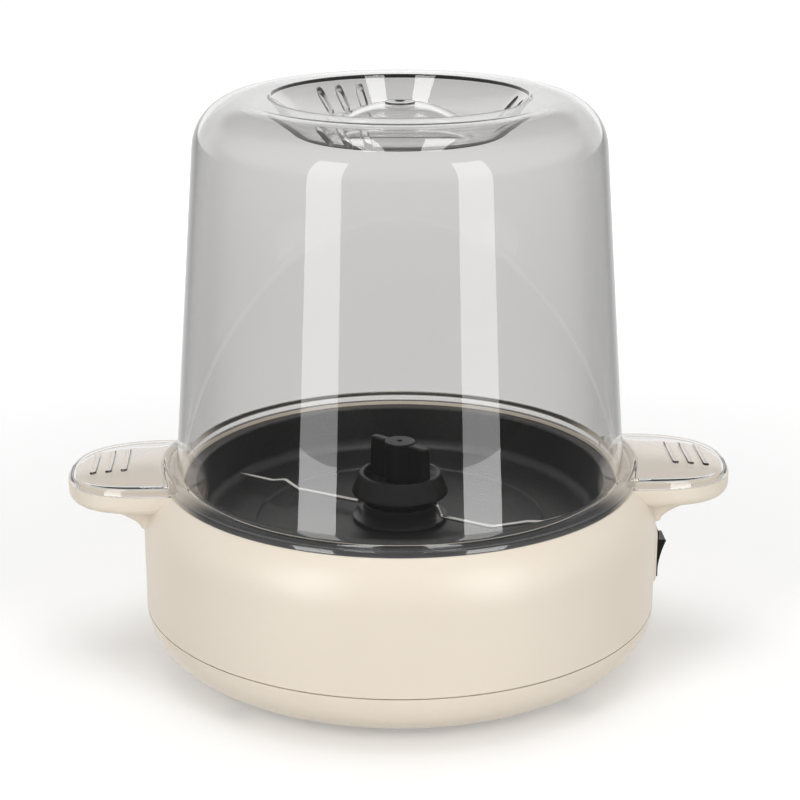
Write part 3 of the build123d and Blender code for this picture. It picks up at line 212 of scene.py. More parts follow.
class Studio(bpy.types.PropertyGroup):
    """Lights, floor and camera."""
    strip: FloatProperty(name="Strip lights", description="Radiance of the two strip lights", default=3.4)
    strip_image: FloatProperty(name="Strip image", description="Radiance of the strips in reflections",
                               default=4.4)
    strip_foot: FloatProperty(name="Strip foot", description="The same, below the table", default=7.9)
    strip_width: FloatProperty(name="Strip width", description="Width of a strip",
                               default=0.33, unit="LENGTH")
    strip_height: FloatProperty(name="Strip height", description="Above the table",
                                default=0.95, unit="LENGTH")
    strip_drop: FloatProperty(name="Strip drop", description="Below the table",
                              default=0.35, unit="LENGTH")
    strip_away: FloatProperty(name="Strip distance", description="From the axis",
                              default=1.0, unit="LENGTH")
    strip_turn: FloatProperty(name="Strip turn", description="To each side of the camera",
                              default=math.radians(39), subtype="ANGLE")
    top: FloatProperty(name="Top light", description="Radiance of the soft light overhead", default=2.1)
    back: FloatProperty(name="Back light", description="Radiance of the soft light behind", default=0.45)
    panel: FloatProperty(name="Panels", description="Radiance of the two panels overhead", default=7.5)
    fill: FloatProperty(name="Fill", description="Soft light from all round", default=0.44)
    behind: FloatProperty(name="Behind glass", description="Brightness of the backdrop through glass",
                          default=0.66)
    ceiling: FloatProperty(name="Ceiling", description="Brightness of the ceiling", default=0.58)
    room: FloatProperty(name="Room", description="Brightness of the dark room in reflections", default=0.1)
    floor: FloatVectorProperty(name="Floor", description="Pale floor", subtype="COLOR",
                               default=(0.9, 0.9, 0.9))
    lift: FloatProperty(name="Floor lift", description="Brings the lit floor up to white", default=0.2)
    far_lift: FloatProperty(name="Far lift", description="The same, far from the object", default=0.6)
    glass_share: FloatProperty(name="Glass share", description="Share of the far lift through glass",
                               default=0.3)
    glass_loss: FloatProperty(name="Glass loss", description="Share of the floor lost through glass",
                              default=0.06)
    floor_mirror: FloatProperty(name="Mirrored floor", description="Share of the floor in reflections",
                                default=0.18)
    lens: FloatProperty(name="Lens", description="Focal length on a 36 mm square", default=92.58)
    away: FloatProperty(name="Camera distance", description="From the axis",
                        default=0.8323, unit="LENGTH")
    high: FloatProperty(name="Camera height", description="Above the table",
                        default=0.3821, unit="LENGTH")
    pitch: FloatProperty(name="Camera pitch", description="Downwards",
                         default=math.radians(18.03), subtype="ANGLE")
    yaw: FloatProperty(name="Camera yaw", description="Round the object",
                       default=math.radians(2.5), subtype="ANGLE")


def feed(tree, value, socket):
    """Link an output to an input, or set the input to a plain value."""
    if isinstance(value, bpy.types.NodeSocket):
        tree.links.new(value, socket)
    else:
        socket.default_value = value


def add(tree, kind, sockets=None, **settings):
    """New node with its settings, and with inputs linked or set by name or number."""
    node = tree.nodes.new(kind)
    for label, value in settings.items():
        setattr(node, label, value)
    for label, value in (sockets or {}).items():
        feed(tree, value, node.inputs[label])
    return node


def sums(tree, operation, *values):
    """Result of a Math node on outputs and plain numbers."""
    return add(tree, "ShaderNodeMath", dict(enumerate(values)), operation=operation).outputs[0]


def vectors(tree, operation, *values):
    """Outputs of a Vector Math node on outputs and plain vectors."""
    return add(tree, "ShaderNodeVectorMath", dict(enumerate(values)), operation=operation).outputs


def ramp(tree, value, low, high):
    """Smooth step of a value from one (value, result) pair to another."""
    ends = zip(("From Min", "To Min", "From Max", "To Max"), (*low, *high))
    node = add(tree, "ShaderNodeMapRange", {"Value": value, **dict(ends)}, interpolation_type="SMOOTHSTEP")
    return node.outputs["Result"]


def object_place(tree):
    """Place on the object, in metres."""
    return add(tree, "ShaderNodeTexCoord").outputs["Object"]


def split(tree, vector):
    """X, Y and Z of a vector."""
    return add(tree, "ShaderNodeSeparateXYZ", {0: vector}).outputs


def scaled(tree, colour, factor):
    """Colour times a factor."""
    return add(tree, "ShaderNodeVectorMath", {0: colour, "Scale": factor}, operation="SCALE").outputs[0]


def mixed(tree, mask, first, second):
    """Colour that goes from one to another as a mask goes from zero to one."""
    node = add(tree, "ShaderNodeMix", {0: mask}, data_type="RGBA")
    colours = [socket for socket in node.inputs if socket.type == "RGBA"]
    feed(tree, first, colours[0])
    feed(tree, second, colours[1])
    return next(socket for socket in node.outputs if socket.type == "RGBA")


def noise(tree, place, scale, detail):
    """Noise on a place; its value runs about 0.5."""
    sockets = {"Vector": place, "Scale": scale, "Detail": detail, "Roughness": 0.55}
    return add(tree, "ShaderNodeTexNoise", sockets).outputs["Fac"]


def drifting(tree, place, scale, detail):
    """Noise that runs about zero."""
    return sums(tree, "SUBTRACT", noise(tree, place, scale, detail), 0.5)


def unreflected(tree, path):
    """One on a ray that hasn't been mirrored, zero after a reflection."""
    return sums(tree, "LESS_THAN", path["Glossy Depth"], 0.5)


def new_group(name, inputs):
    """Shader group that puts out colour, roughness and height; returns it with its given and made sockets."""
    tree = bpy.data.node_groups.new(name, "ShaderNodeTree")
    outputs = {"Colour": "Color", "Roughness": "Float", "Height": "Float"}
    for way, sockets in (("INPUT", inputs), ("OUTPUT", outputs)):
        for label, kind in sockets.items():
            tree.interface.new_socket(label, in_out=way, socket_type="NodeSocket" + kind)
    return tree, tree.nodes.new("NodeGroupInput").outputs, tree.nodes.new("NodeGroupOutput").inputs


def grain_group(name):
    """Moulded grain: fine noise is the height; broad patches shift the shade and the roughness."""
    tree, given, made = new_group(name, {"Colour": "Color", "Shade": "Float", "Grain": "Float",
                                         "Patches": "Float", "Roughness": "Float", "Spread": "Float"})
    place = object_place(tree)
    drift = drifting(tree, place, given["Patches"], detail=4.0)
    shade = sums(tree, "MULTIPLY_ADD", drift, given["Shade"], 1.0)
    rough = sums(tree, "MULTIPLY_ADD", drift, given["Spread"], given["Roughness"])
    tree.links.new(scaled(tree, given["Colour"], shade), made["Colour"])
    tree.links.new(rough, made["Roughness"])
    tree.links.new(noise(tree, place, given["Grain"], detail=3.0), made["Height"])
    return tree


def coating_group(name):
    """Non-stick coating: pale specks where fine noise passes a limit, over an orange-peel height."""
    limit, steepness, polish = 0.62, 9.0, -0.15
    peel_scale, peel_height = 0.4, 0.7
    tree, given, made = new_group(name, {"Colour": "Color", "Speck": "Color", "Specks": "Float",
                                         "Roughness": "Float"})
    place = object_place(tree)
    specks = noise(tree, place, given["Specks"], detail=1.0)
    mask = sums(tree, "MULTIPLY", sums(tree, "SUBTRACT", specks, limit), steepness)
    mask = sums(tree, "MINIMUM", sums(tree, "MAXIMUM", mask, 0.0), 1.0)
    peel = noise(tree, place, sums(tree, "MULTIPLY", given["Specks"], peel_scale), detail=2.0)
    tree.links.new(mixed(tree, mask, given["Colour"], given["Speck"]), made["Colour"])
    tree.links.new(sums(tree, "MULTIPLY_ADD", mask, polish, given["Roughness"]), made["Roughness"])
    tree.links.new(sums(tree, "MULTIPLY_ADD", peel, peel_height, specks), made["Height"])
    return tree


def metal_group(name):
    """Drawn or rolled metal: noise stretched along one way, and broad dull patches."""
    stretch, patches = (60.0, 60.0, 1600.0), 45.0
    darkening, dulling = -0.25, 0.3
    tree, given, made = new_group(name, {"Colour": "Color", "Streak": "Float", "Roughness": "Float"})
    place = object_place(tree)
    stretched = add(tree, "ShaderNodeMapping", {"Vector": place, "Scale": stretch}).outputs[0]
    streak = noise(tree, stretched, scale=1.0, detail=2.0)
    dull = drifting(tree, place, patches, detail=3.0)
    shade = sums(tree, "MULTIPLY_ADD", dull, darkening, 1.0)
    rough = sums(tree, "MULTIPLY_ADD", dull, dulling, given["Roughness"])
    rough = sums(tree, "MULTIPLY_ADD", sums(tree, "SUBTRACT", streak, 0.5), given["Streak"], rough)
    tree.links.new(scaled(tree, given["Colour"], shade), made["Colour"])
    tree.links.new(rough, made["Roughness"])
    tree.links.new(streak, made["Height"])
    return tree


GROUPS = {"Moulded grain": grain_group, "Speckled coating": coating_group, "Drawn metal": metal_group}


def surfaced(name, group, sockets, bump, depth):
    """Material whose colour, roughness and relief come from a group; returns it and its shader."""
    material = bpy.data.materials.new(name)
    material.use_nodes = True
    tree = material.node_tree
    shader = tree.nodes["Principled BSDF"]
    surface = add(tree, "ShaderNodeGroup", node_tree=bpy.data.node_groups.get(group) or GROUPS[group](group))
    for label, value in sockets.items():
        surface.inputs[label].default_value = (*value, 1) if hasattr(value, "__len__") else value
    relief = add(tree, "ShaderNodeBump", {"Strength": bump, "Distance": depth,
                                          "Height": surface.outputs["Height"]})
    tree.links.new(surface.outputs["Colour"], shader.inputs["Base Color"])
    tree.links.new(surface.outputs["Roughness"], shader.inputs["Roughness"])
    tree.links.new(relief.outputs["Normal"], shader.inputs["Normal"])
    return material, shader


def moulded(name, colour, roughness, grain=1800.0, bump=0.12, gloss=0.5):
    """Moulded plastic or rubber."""
    sockets = {"Colour": colour, "Shade": 0.05, "Grain": grain, "Patches": 16.0,
               "Roughness": roughness, "Spread": 0.08}
    material, shader = surfaced(name, "Moulded grain", sockets, bump, depth=0.06 * MM)
    shader.inputs["Specular IOR Level"].default_value = gloss
    return material


def coated(name, colour, speck, roughness):
    """Metal under a speckled non-stick coating."""
    sockets = {"Colour": colour, "Speck": speck, "Specks": 1500.0, "Roughness": roughness}
    return surfaced(name, "Speckled coating", sockets, bump=0.25, depth=0.08 * MM)[0]


def metal(name, colour, roughness):
    """Bare metal."""
    sockets = {"Colour": colour, "Streak": 0.15, "Roughness": roughness}
    material, shader = surfaced(name, "Drawn metal", sockets, bump=0.08, depth=0.03 * MM)
    shader.inputs["Metallic"].default_value = 1.0
    return material


def with_painted_reflection(material, ring, low, radius_from, radius_to):
    """Paint a dark ring on a moulded material, above a height and between two radii about the axis: a painted
    reflection that stands in for the dark pan as the clear flange shows it.

    With a point at (x, y) and r from the axis, the painted reflection fades towards the two sides as |y| / r
    falls.
    """
    tree = material.node_tree
    colour = tree.nodes["Principled BSDF"].inputs["Base Color"]
    place = object_place(tree)
    point = split(tree, place)
    radius = vectors(tree, "LENGTH", vectors(tree, "MULTIPLY", place, (1, 1, 0))[0])["Value"]
    outside = sums(tree, "GREATER_THAN", radius, radius_from)
    inside = sums(tree, "LESS_THAN", radius, radius_to)
    above = sums(tree, "GREATER_THAN", point["Z"], low)
    slant = sums(tree, "DIVIDE", sums(tree, "ABSOLUTE", point["Y"]), radius)
    strong = sums(tree, "MULTIPLY", above, ramp(tree, slant, *REFLECTION_RING_FADE))
    mask = sums(tree, "MULTIPLY", strong, sums(tree, "MULTIPLY", inside, outside))
    tree.links.new(mixed(tree, mask, colour.links[0].from_socket, (*ring, 1)), colour)
    return material


def clear_plastic(colour, shadow):
    """Clear plastic, matt on the upright walls of the drip slots.

    Shadow rays and diffuse rays go straight through it, with the shadow's tint.
    """
    upright_below, matt_reach, matt = 0.02, 20 * MM, 0.4
    sockets = {"Colour": colour, "Shade": 0.02, "Grain": 60.0, "Patches": 12.0, "Roughness": 0.0,
               "Spread": 0.0}
    material, shader = surfaced("clear_plastic", "Moulded grain", sockets, bump=0.004, depth=0.05 * MM)
    tree = material.node_tree
    facing = split(tree, add(tree, "ShaderNodeNewGeometry").outputs["True Normal"])
    upright = sums(tree, "LESS_THAN", sums(tree, "ABSOLUTE", facing["Z"]), upright_below)
    high = sums(tree, "GREATER_THAN", split(tree, object_place(tree))["Z"], TOP - matt_reach)
    slot_wall = sums(tree, "MULTIPLY", upright, high)
    tree.links.new(sums(tree, "MULTIPLY", slot_wall, matt), shader.inputs["Roughness"])
    shader.inputs["IOR"].default_value = 1.5
    shader.inputs["Transmission Weight"].default_value = 1.0
    path = add(tree, "ShaderNodeLightPath").outputs
    straight = sums(tree, "MAXIMUM", path["Is Shadow Ray"], path["Is Diffuse Ray"])
    through = add(tree, "ShaderNodeBsdfTransparent", {"Color": (*shadow, 1)})
    mix = add(tree, "ShaderNodeMixShader", {0: straight, 1: shader.outputs[0], 2: through.outputs[0]})
    tree.links.new(mix.outputs[0], tree.nodes["Material Output"].inputs["Surface"])
    return material


def dress(nodes, material):
    """Give CAD nodes a finish."""
    for node in nodes:
        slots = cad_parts[node].data.materials
        slots.clear()
        slots.append(material)


def unit(lines):
    """Vectors scaled to length one."""
    return lines / np.linalg.norm(lines, axis=-1, keepdims=True)


def rounded(corners, radii):
    """Line through corners, each inner one turned on an arc.

    The arc of radius R at a corner of inner half angle h is centred R / sin h along the bisector,
    and runs between its two tangent directions by spherical interpolation.
    """
    corners = np.asarray(corners, float)
    share = np.linspace(0, 1, ARC_STEPS)[:, None]
    pieces = [corners[:1]]
    for before, corner, after, radius in zip(corners, corners[1:], corners[2:], radii):
        back, ahead = unit(before - corner), unit(after - corner)
        half = math.acos(np.clip(back @ ahead, -1, 1)) / 2
        middle = corner + unit(back + ahead) * radius / math.sin(half)
        start = unit(corner + back * radius / math.tan(half) - middle)
        end = unit(corner + ahead * radius / math.tan(half) - middle)
        turn = math.pi - 2 * half
        arc = np.sin((1 - share) * turn) * start + np.sin(share * turn) * end
        pieces.append(middle + radius * arc / math.sin(turn))
    return np.concatenate(pieces + [corners[-1:]])


def offset(corners, inset):
    """Corners of a line moved to its left.

    With n1 and n2 the left normals at a corner, it goes by inset (n1 + n2) / (1 + n1 . n2).
    """
    along = unit(np.diff(corners, axis=0))
    left = np.stack([-along[:, 1], along[:, 0]], 1)
    first = np.concatenate([left[:1], left])
    second = np.concatenate([left, left[-1:]])
    return corners + inset * (first + second) / (1 + np.sum(first * second, 1, keepdims=True))


def closed_rings(rings, start, end):
    """Closed mesh from rings listed from the top outward and down: quads between them, a fan at each end."""
    count, width = rings.shape[:2]
    points = np.concatenate([rings.reshape(-1, 3), [start], [end]])
    row = np.arange(width)
    base = np.arange(count - 1)[:, None] * width
    here, beside = (base + row).ravel(), (base + (row + 1) % width).ravel()
    quads = np.stack([here, here + width, beside + width, beside], 1)
    last = (count - 1) * width
    top = np.stack([np.full(width, count * width), row, (row + 1) % width], 1)
    bottom = np.stack([np.full(width, count * width + 1), last + (row + 1) % width, last + row], 1)
    return points, quads, np.concatenate([top, bottom])


def lathe(profile, sides):
    """Surface of revolution: a profile point (r, z) at angle t is (r cos t, r sin t, z); ends on the axis."""
    angle = np.linspace(0, 2 * np.pi, sides, endpoint=False)
    r, z = profile[1:-1].T
    rings = np.stack([np.outer(r, np.cos(angle)), np.outer(r, np.sin(angle)),
                      np.repeat(z[:, None], sides, 1)], -1)
    return closed_rings(rings, (0, 0, profile[0, 1]), (0, 0, profile[-1, 1]))


def gathered(meshes):
    """Several meshes as one."""
    starts = np.cumsum([0] + [len(points) for points, _, _ in meshes])
    return (np.concatenate([points for points, _, _ in meshes]),
            np.concatenate([quads + start for (_, quads, _), start in zip(meshes, starts)]),
            np.concatenate([fans + start for (_, _, fans), start in zip(meshes, starts)]))


def half_turned(mesh):
    """A mesh turned by 180 degrees about the axis."""
    return mesh[0] * (-1, -1, 1), mesh[1], mesh[2]


def new_object(name, mesh_data):
    """Mesh object at the origin."""
    points, quads, fans = mesh_data
    mesh = bpy.data.meshes.new(name)
    mesh.from_pydata(points.tolist(), [], quads.tolist() + fans.tolist())
    obj = bpy.data.objects.new(name, mesh)
    bpy.context.scene.collection.objects.link(obj)
    return obj


def combine(target, tool, operation):
    """Exact Boolean of one closed mesh with another, which is then removed."""
    step = target.modifiers.new(tool.name, "BOOLEAN")
    step.operation = operation
    step.solver = "EXACT"
    step.object = tool
    result = bpy.data.meshes.new_from_object(target.evaluated_get(bpy.context.evaluated_depsgraph_get()))
    target.modifiers.clear()
    old = target.data
    target.data = result
    bpy.data.meshes.remove(old)
    bpy.data.meshes.remove(tool.data)


def smooth(obj, angle):
    """Smooth shading with sharp edges above an angle."""
    obj.data.shade_smooth()
    obj.data.set_sharp_from_angle(angle=math.radians(angle))


def dome_profile(size):
    """Profile of the dome from the axis over the outer face, round the flange and back inside.

    The inner face is the outer one moved in by the wall, so its roundings are a wall smaller or larger.
    """
    trough = TOP - size.depth
    hill = trough + size.hill
    foot = SEAT + size.flange
    low = SEAT - size.bite
    foot_r = FLANGE - size.flange_width
    lean = math.tan(size.draft)
    shoulder = (SHOULDER_R, trough + SHOULDER_RISE)
    side = np.array([(foot_r, foot), (foot_r - lean * (TOP - foot), TOP), (size.well, TOP),
                     (TROUGH_OUTER_R, trough), (TROUGH_INNER_R, trough), shoulder, (0, hill)])
    across = np.concatenate([side, [(-shoulder[0], shoulder[1])]])
    inner = offset(across, size.wall)[1:-1]
    inner_foot = foot_r - size.wall / math.cos(size.draft) + (size.flange + size.bite) * lean
    gate = [(0, hill - DIMPLE_DEPTH), (DIMPLE_R, hill + GATE_RISE), (GATE_R, hill + GATE_RISE),
            (GATE_R, hill - GATE_FOOT)]
    flange = [(FLANGE, foot), (FLANGE, low), (inner_foot, low)]
    corners = np.concatenate([gate, side[-2::-1], flange, inner])
    gate_rounds = [DIMPLE_ROUND, GATE_ROUND, GATE_ROUND]
    outer_rounds = [SHOULDER_ROUND, TROUGH_ROUND, TROUGH_ROUND, RIM_ROUND, size.corner]
    flange_rounds = [FOOT_ROUND, FLANGE_ROUND, EDGE_ROUND, EDGE_ROUND]
    inner_rounds = [size.corner - size.wall, abs(RIM_ROUND - size.wall), TROUGH_ROUND + size.wall,
                    TROUGH_ROUND + size.wall, SHOULDER_ROUND - size.wall]
    return rounded(corners, gate_rounds + outer_rounds + flange_rounds + inner_rounds)


def bezier(start, first, second, end, steps):
    """Cubic curve (1-t)^3 P0 + 3 (1-t)^2 t P1 + 3 (1-t) t^2 P2 + t^3 P3, without its last point."""
    t = np.linspace(0, 1, steps, endpoint=False)[:, None]
    return ((1 - t) ** 3 * np.array(start) + 3 * (1 - t) ** 2 * t * np.array(first)
            + 3 * (1 - t) * t ** 2 * np.array(second) + t ** 3 * np.array(end))


def tab_plan(inset, root):
    """Loop of a tab in plan: straight sides, full rounded end, and an arc about the axis at its root."""
    side_steps, nose_steps, root_steps = 6, 26, 22
    tip = TAB_TIP - inset
    half = TAB_HALF - inset
    bend = TAB_CORE + TAB_FULLNESS * (tip - TAB_CORE)
    swell = TAB_FULLNESS * half
    start = math.sqrt((root + inset) ** 2 - half ** 2)
    share = np.linspace(0, 1, side_steps, endpoint=False)[:, None]
    near = (1 - share) * (start, -half) + share * (TAB_CORE, -half)
    far = (1 - share) * (TAB_CORE, half) + share * (start, half)
    nose = bezier((TAB_CORE, -half), (bend, -half), (tip, -swell), (tip, 0), nose_steps)
    back = bezier((tip, 0), (tip, swell), (bend, half), (TAB_CORE, half), nose_steps)
    reach = math.asin(half / (root + inset))
    turn = np.linspace(reach, -reach, root_steps, endpoint=False)
    arc = (root + inset) * np.stack([np.cos(turn), np.sin(turn)], 1)
    return np.concatenate([near, nose, back, far, arc])


def crown(plan):
    """Height of a tab's crown: the top of a ball of radius R over the flange's edge."""
    away = (plan[..., 0] - FLANGE - CROWN_OUT) ** 2 + plan[..., 1] ** 2
    return SEAT + CROWN_RISE - CROWN_R + np.sqrt(CROWN_R ** 2 - away)


def raised(plan, height):
    """Plan points with their heights."""
    return np.column_stack([plan, np.broadcast_to(height, len(plan))])


def tab_mesh(size):
    """Hollow tab: rings of its plan from the crown down its edge, under the wall and up the hollow.

    A rounded edge of radius R at angle t is inset by R (1 - cos t) and lowered by R (1 - sin t).
    """
    low = SEAT - size.bite + TAB_LIFT
    rings = []
    for share in (0.15, 0.4, 0.65, 0.85):
        plan = TAB_MIDDLE + share * (tab_plan(TAB_EDGE, TAB_ROOT) - TAB_MIDDLE)
        rings.append(raised(plan, crown(plan)))
    for turn in np.linspace(np.pi / 2, 0, 8):
        plan = tab_plan(TAB_EDGE * (1 - math.cos(turn)), TAB_ROOT)
        rings.append(raised(plan, crown(plan) - TAB_EDGE * (1 - math.sin(turn))))
    rings.append(raised(tab_plan(0, TAB_ROOT), low))
    rings.append(raised(tab_plan(TAB_WALL, TAB_HOLLOW_ROOT), low))
    for turn in np.linspace(0, np.pi / 2, 5):
        plan = tab_plan(TAB_WALL + TAB_INNER_EDGE * (1 - math.cos(turn)), TAB_HOLLOW_ROOT)
        rings.append(raised(plan, crown(plan) - TAB_WALL - TAB_INNER_EDGE * (1 - math.sin(turn))))
    for share in (0.8, 0.5, 0.2):
        plan = TAB_MIDDLE + share * (tab_plan(TAB_WALL + TAB_INNER_EDGE, TAB_HOLLOW_ROOT) - TAB_MIDDLE)
        rings.append(raised(plan, crown(plan) - TAB_WALL))
    peak = float(crown(TAB_MIDDLE))
    return closed_rings(np.array(rings), (*TAB_MIDDLE, peak), (*TAB_MIDDLE, peak - TAB_WALL))


def slot_plan(length, width):
    """Loop of a slot with round ends, along X about the origin."""
    turn = np.linspace(-np.pi / 2, np.pi / 2, SLOT_END_STEPS)
    end = np.stack([np.cos(turn), np.sin(turn)], 1) * width / 2 + ((length - width) / 2, 0)
    return np.concatenate([end, -end])


def rib_mesh(place):
    """Grip rib across a tab: slot rings that follow the crown and round over at the top."""
    rings = []
    for inset, rise in RIB_SECTION:
        along = slot_plan(RIB_LENGTH - 2 * inset * MM, RIB_WIDTH - 2 * inset * MM)
        plan = along[:, ::-1] * (-1, 1) + (place, 0)
        rings.append(raised(plan, crown(plan) + rise * MM))
    peak = float(crown(np.array((place, 0))))
    top, bottom = RIB_SECTION[0][1], RIB_SECTION[-1][1]
    return closed_rings(np.array(rings), (place, 0, peak + top * MM), (place, 0, peak + bottom * MM))


def slot_mesh(angle):
    """Cutter for one drip slot in the slope of the well."""
    turn = np.array([[math.cos(angle), math.sin(angle)], [-math.sin(angle), math.cos(angle)]])
    middle = np.array((SLOT_AT, 0)) @ turn
    plan = slot_plan(SLOT_LENGTH, SLOT_WIDTH) @ turn + middle
    high, low = TOP + CUT_ABOVE, TOP - CUT_BELOW
    return closed_rings(np.array([raised(plan, high), raised(plan, low)]), (*middle, high), (*middle, low))


def area_light(name, radiance, size, place, turn, hidden):
    """Rectangular lamp, unseen by some kinds of ray; its power is pi times its radiance times its area."""
    light = bpy.data.lights.new(name, "AREA")
    light.shape = "RECTANGLE"
    light.size, light.size_y = size
    light.energy = radiance * math.pi * light.size * light.size_y
    lamp = bpy.data.objects.new(name, light)
    lamp.location = place
    lamp.rotation_euler = turn
    for ray in hidden:
        setattr(lamp, "visible_" + ray, False)
    bpy.context.scene.collection.objects.link(lamp)


class POPCORN_OT_dome(bpy.types.Operator):
    """Clear dome with its flange, tabs, ribs, well and drip slots"""
    bl_idname = "popcorn.dome"
    bl_label = "Clear dome"

    def execute(self, context):
        size = context.scene.popcorn_dome
        finish = context.scene.popcorn_finish
        dome = new_object("clear_dome", lathe(dome_profile(size), size.sides))
        tab = tab_mesh(size)
        combine(dome, new_object("tabs", gathered([tab, half_turned(tab)])), "UNION")
        ribs = [rib_mesh(TAB_TIP - RIB_FROM_TIP - RIB_PITCH * count) for count in range(RIBS)]
        combine(dome, new_object("ribs", gathered(ribs + [half_turned(rib) for rib in ribs])), "UNION")
        groups = [group * 360 / SLOT_GROUPS for group in range(SLOT_GROUPS)]
        angles = [math.radians(group + SLOT_TURN * step) for group in groups for step in (-1, 0, 1)]
        combine(dome, new_object("slots", gathered([slot_mesh(angle) for angle in angles])), "DIFFERENCE")
        if len(dome.data.polygons) < size.sides * LEAST_RINGS:
            raise RuntimeError("the dome lost its wall in a cut")
        smooth(dome, angle=40)
        dome.data.materials.clear()
        dome.data.materials.append(clear_plastic(finish.clear, finish.shadow))
        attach(dome, "dome")
        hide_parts("dome_cover", "well_dish")
        return {"FINISHED"}


class POPCORN_OT_base(bpy.types.Operator):
    """Cream housing and cover, feet and screws"""
    bl_idname = "popcorn.base"
    bl_label = "Base"

    def execute(self, context):
        finish = context.scene.popcorn_finish
        cream = moulded("cream_plastic", finish.cream, roughness=0.4)
        # The seat gets a painted reflection: a dark ring for the dark pan as the clear flange shows it,
        # strongest at front and back
        dress(CREAM, with_painted_reflection(cream, finish.black, SEAT - REFLECTION_RING_BELOW, REFLECTION_RING_INSIDE, FLANGE - REFLECTION_RING_FROM_EDGE))
        dress(FEET, moulded("foot_rubber", finish.foot, roughness=0.75, grain=900.0, bump=0.3))
        dress(SCREWS, metal("screw_steel", finish.steel, roughness=0.3))
        return {"FINISHED"}


class POPCORN_OT_pan(bpy.types.Operator):
    """Non-stick pan"""
    bl_idname = "popcorn.pan"
    bl_label = "Pan"

    def execute(self, context):
        finish = context.scene.popcorn_finish
        dress(("pan",), coated("pan_coating", finish.coating, finish.speck, roughness=0.36))
        return {"FINISHED"}


class POPCORN_OT_stirrer(bpy.types.Operator):
    """Hub, wire, washer, shaft and clamping knob"""
    bl_idname = "popcorn.stirrer"
    bl_label = "Stirrer"

    def execute(self, context):
        finish = context.scene.popcorn_finish
        fine = {"grain": 2500.0, "bump": 0.01}
        dress(SATIN_BLACK, moulded("black_plastic", finish.knob, roughness=0.36, gloss=0.3, **fine))
        dress(GLOSS_BLACK, moulded("hub_plastic", finish.black, roughness=0.24, **fine))
        dress(WIRE, metal("wire_steel", finish.steel, roughness=0.16))
        return {"FINISHED"}


class POPCORN_OT_switch(bpy.types.Operator):
    """Rocker switch"""
    bl_idname = "popcorn.switch"
    bl_label = "Switch"

    def execute(self, context):
        black = context.scene.popcorn_finish.black
        dress(SWITCH, moulded("switch_plastic", black, roughness=0.28, bump=0.06))
        return {"FINISHED"}


class POPCORN_OT_inside(bpy.types.Operator):
    """Heater, shield, motor, terminals and leads inside the base"""
    bl_idname = "popcorn.inside"
    bl_label = "Inside parts"

    def execute(self, context):
        finish = context.scene.popcorn_finish
        dress(SHEET, metal("sheet_steel", finish.steel, roughness=0.38))
        dress(("heating_element",), metal("heater_steel", finish.heater, roughness=0.45))
        dress(("gear_motor",), metal("motor_steel", finish.steel, roughness=0.32))
        dress(BRASS, metal("brass", finish.brass, roughness=0.28))
        dress(BLOCK, moulded("block_plastic", finish.block, roughness=0.5))
        dress(("inner_leads",), moulded("lead_rubber", finish.lead, roughness=0.5, grain=900.0))
        return {"FINISHED"}


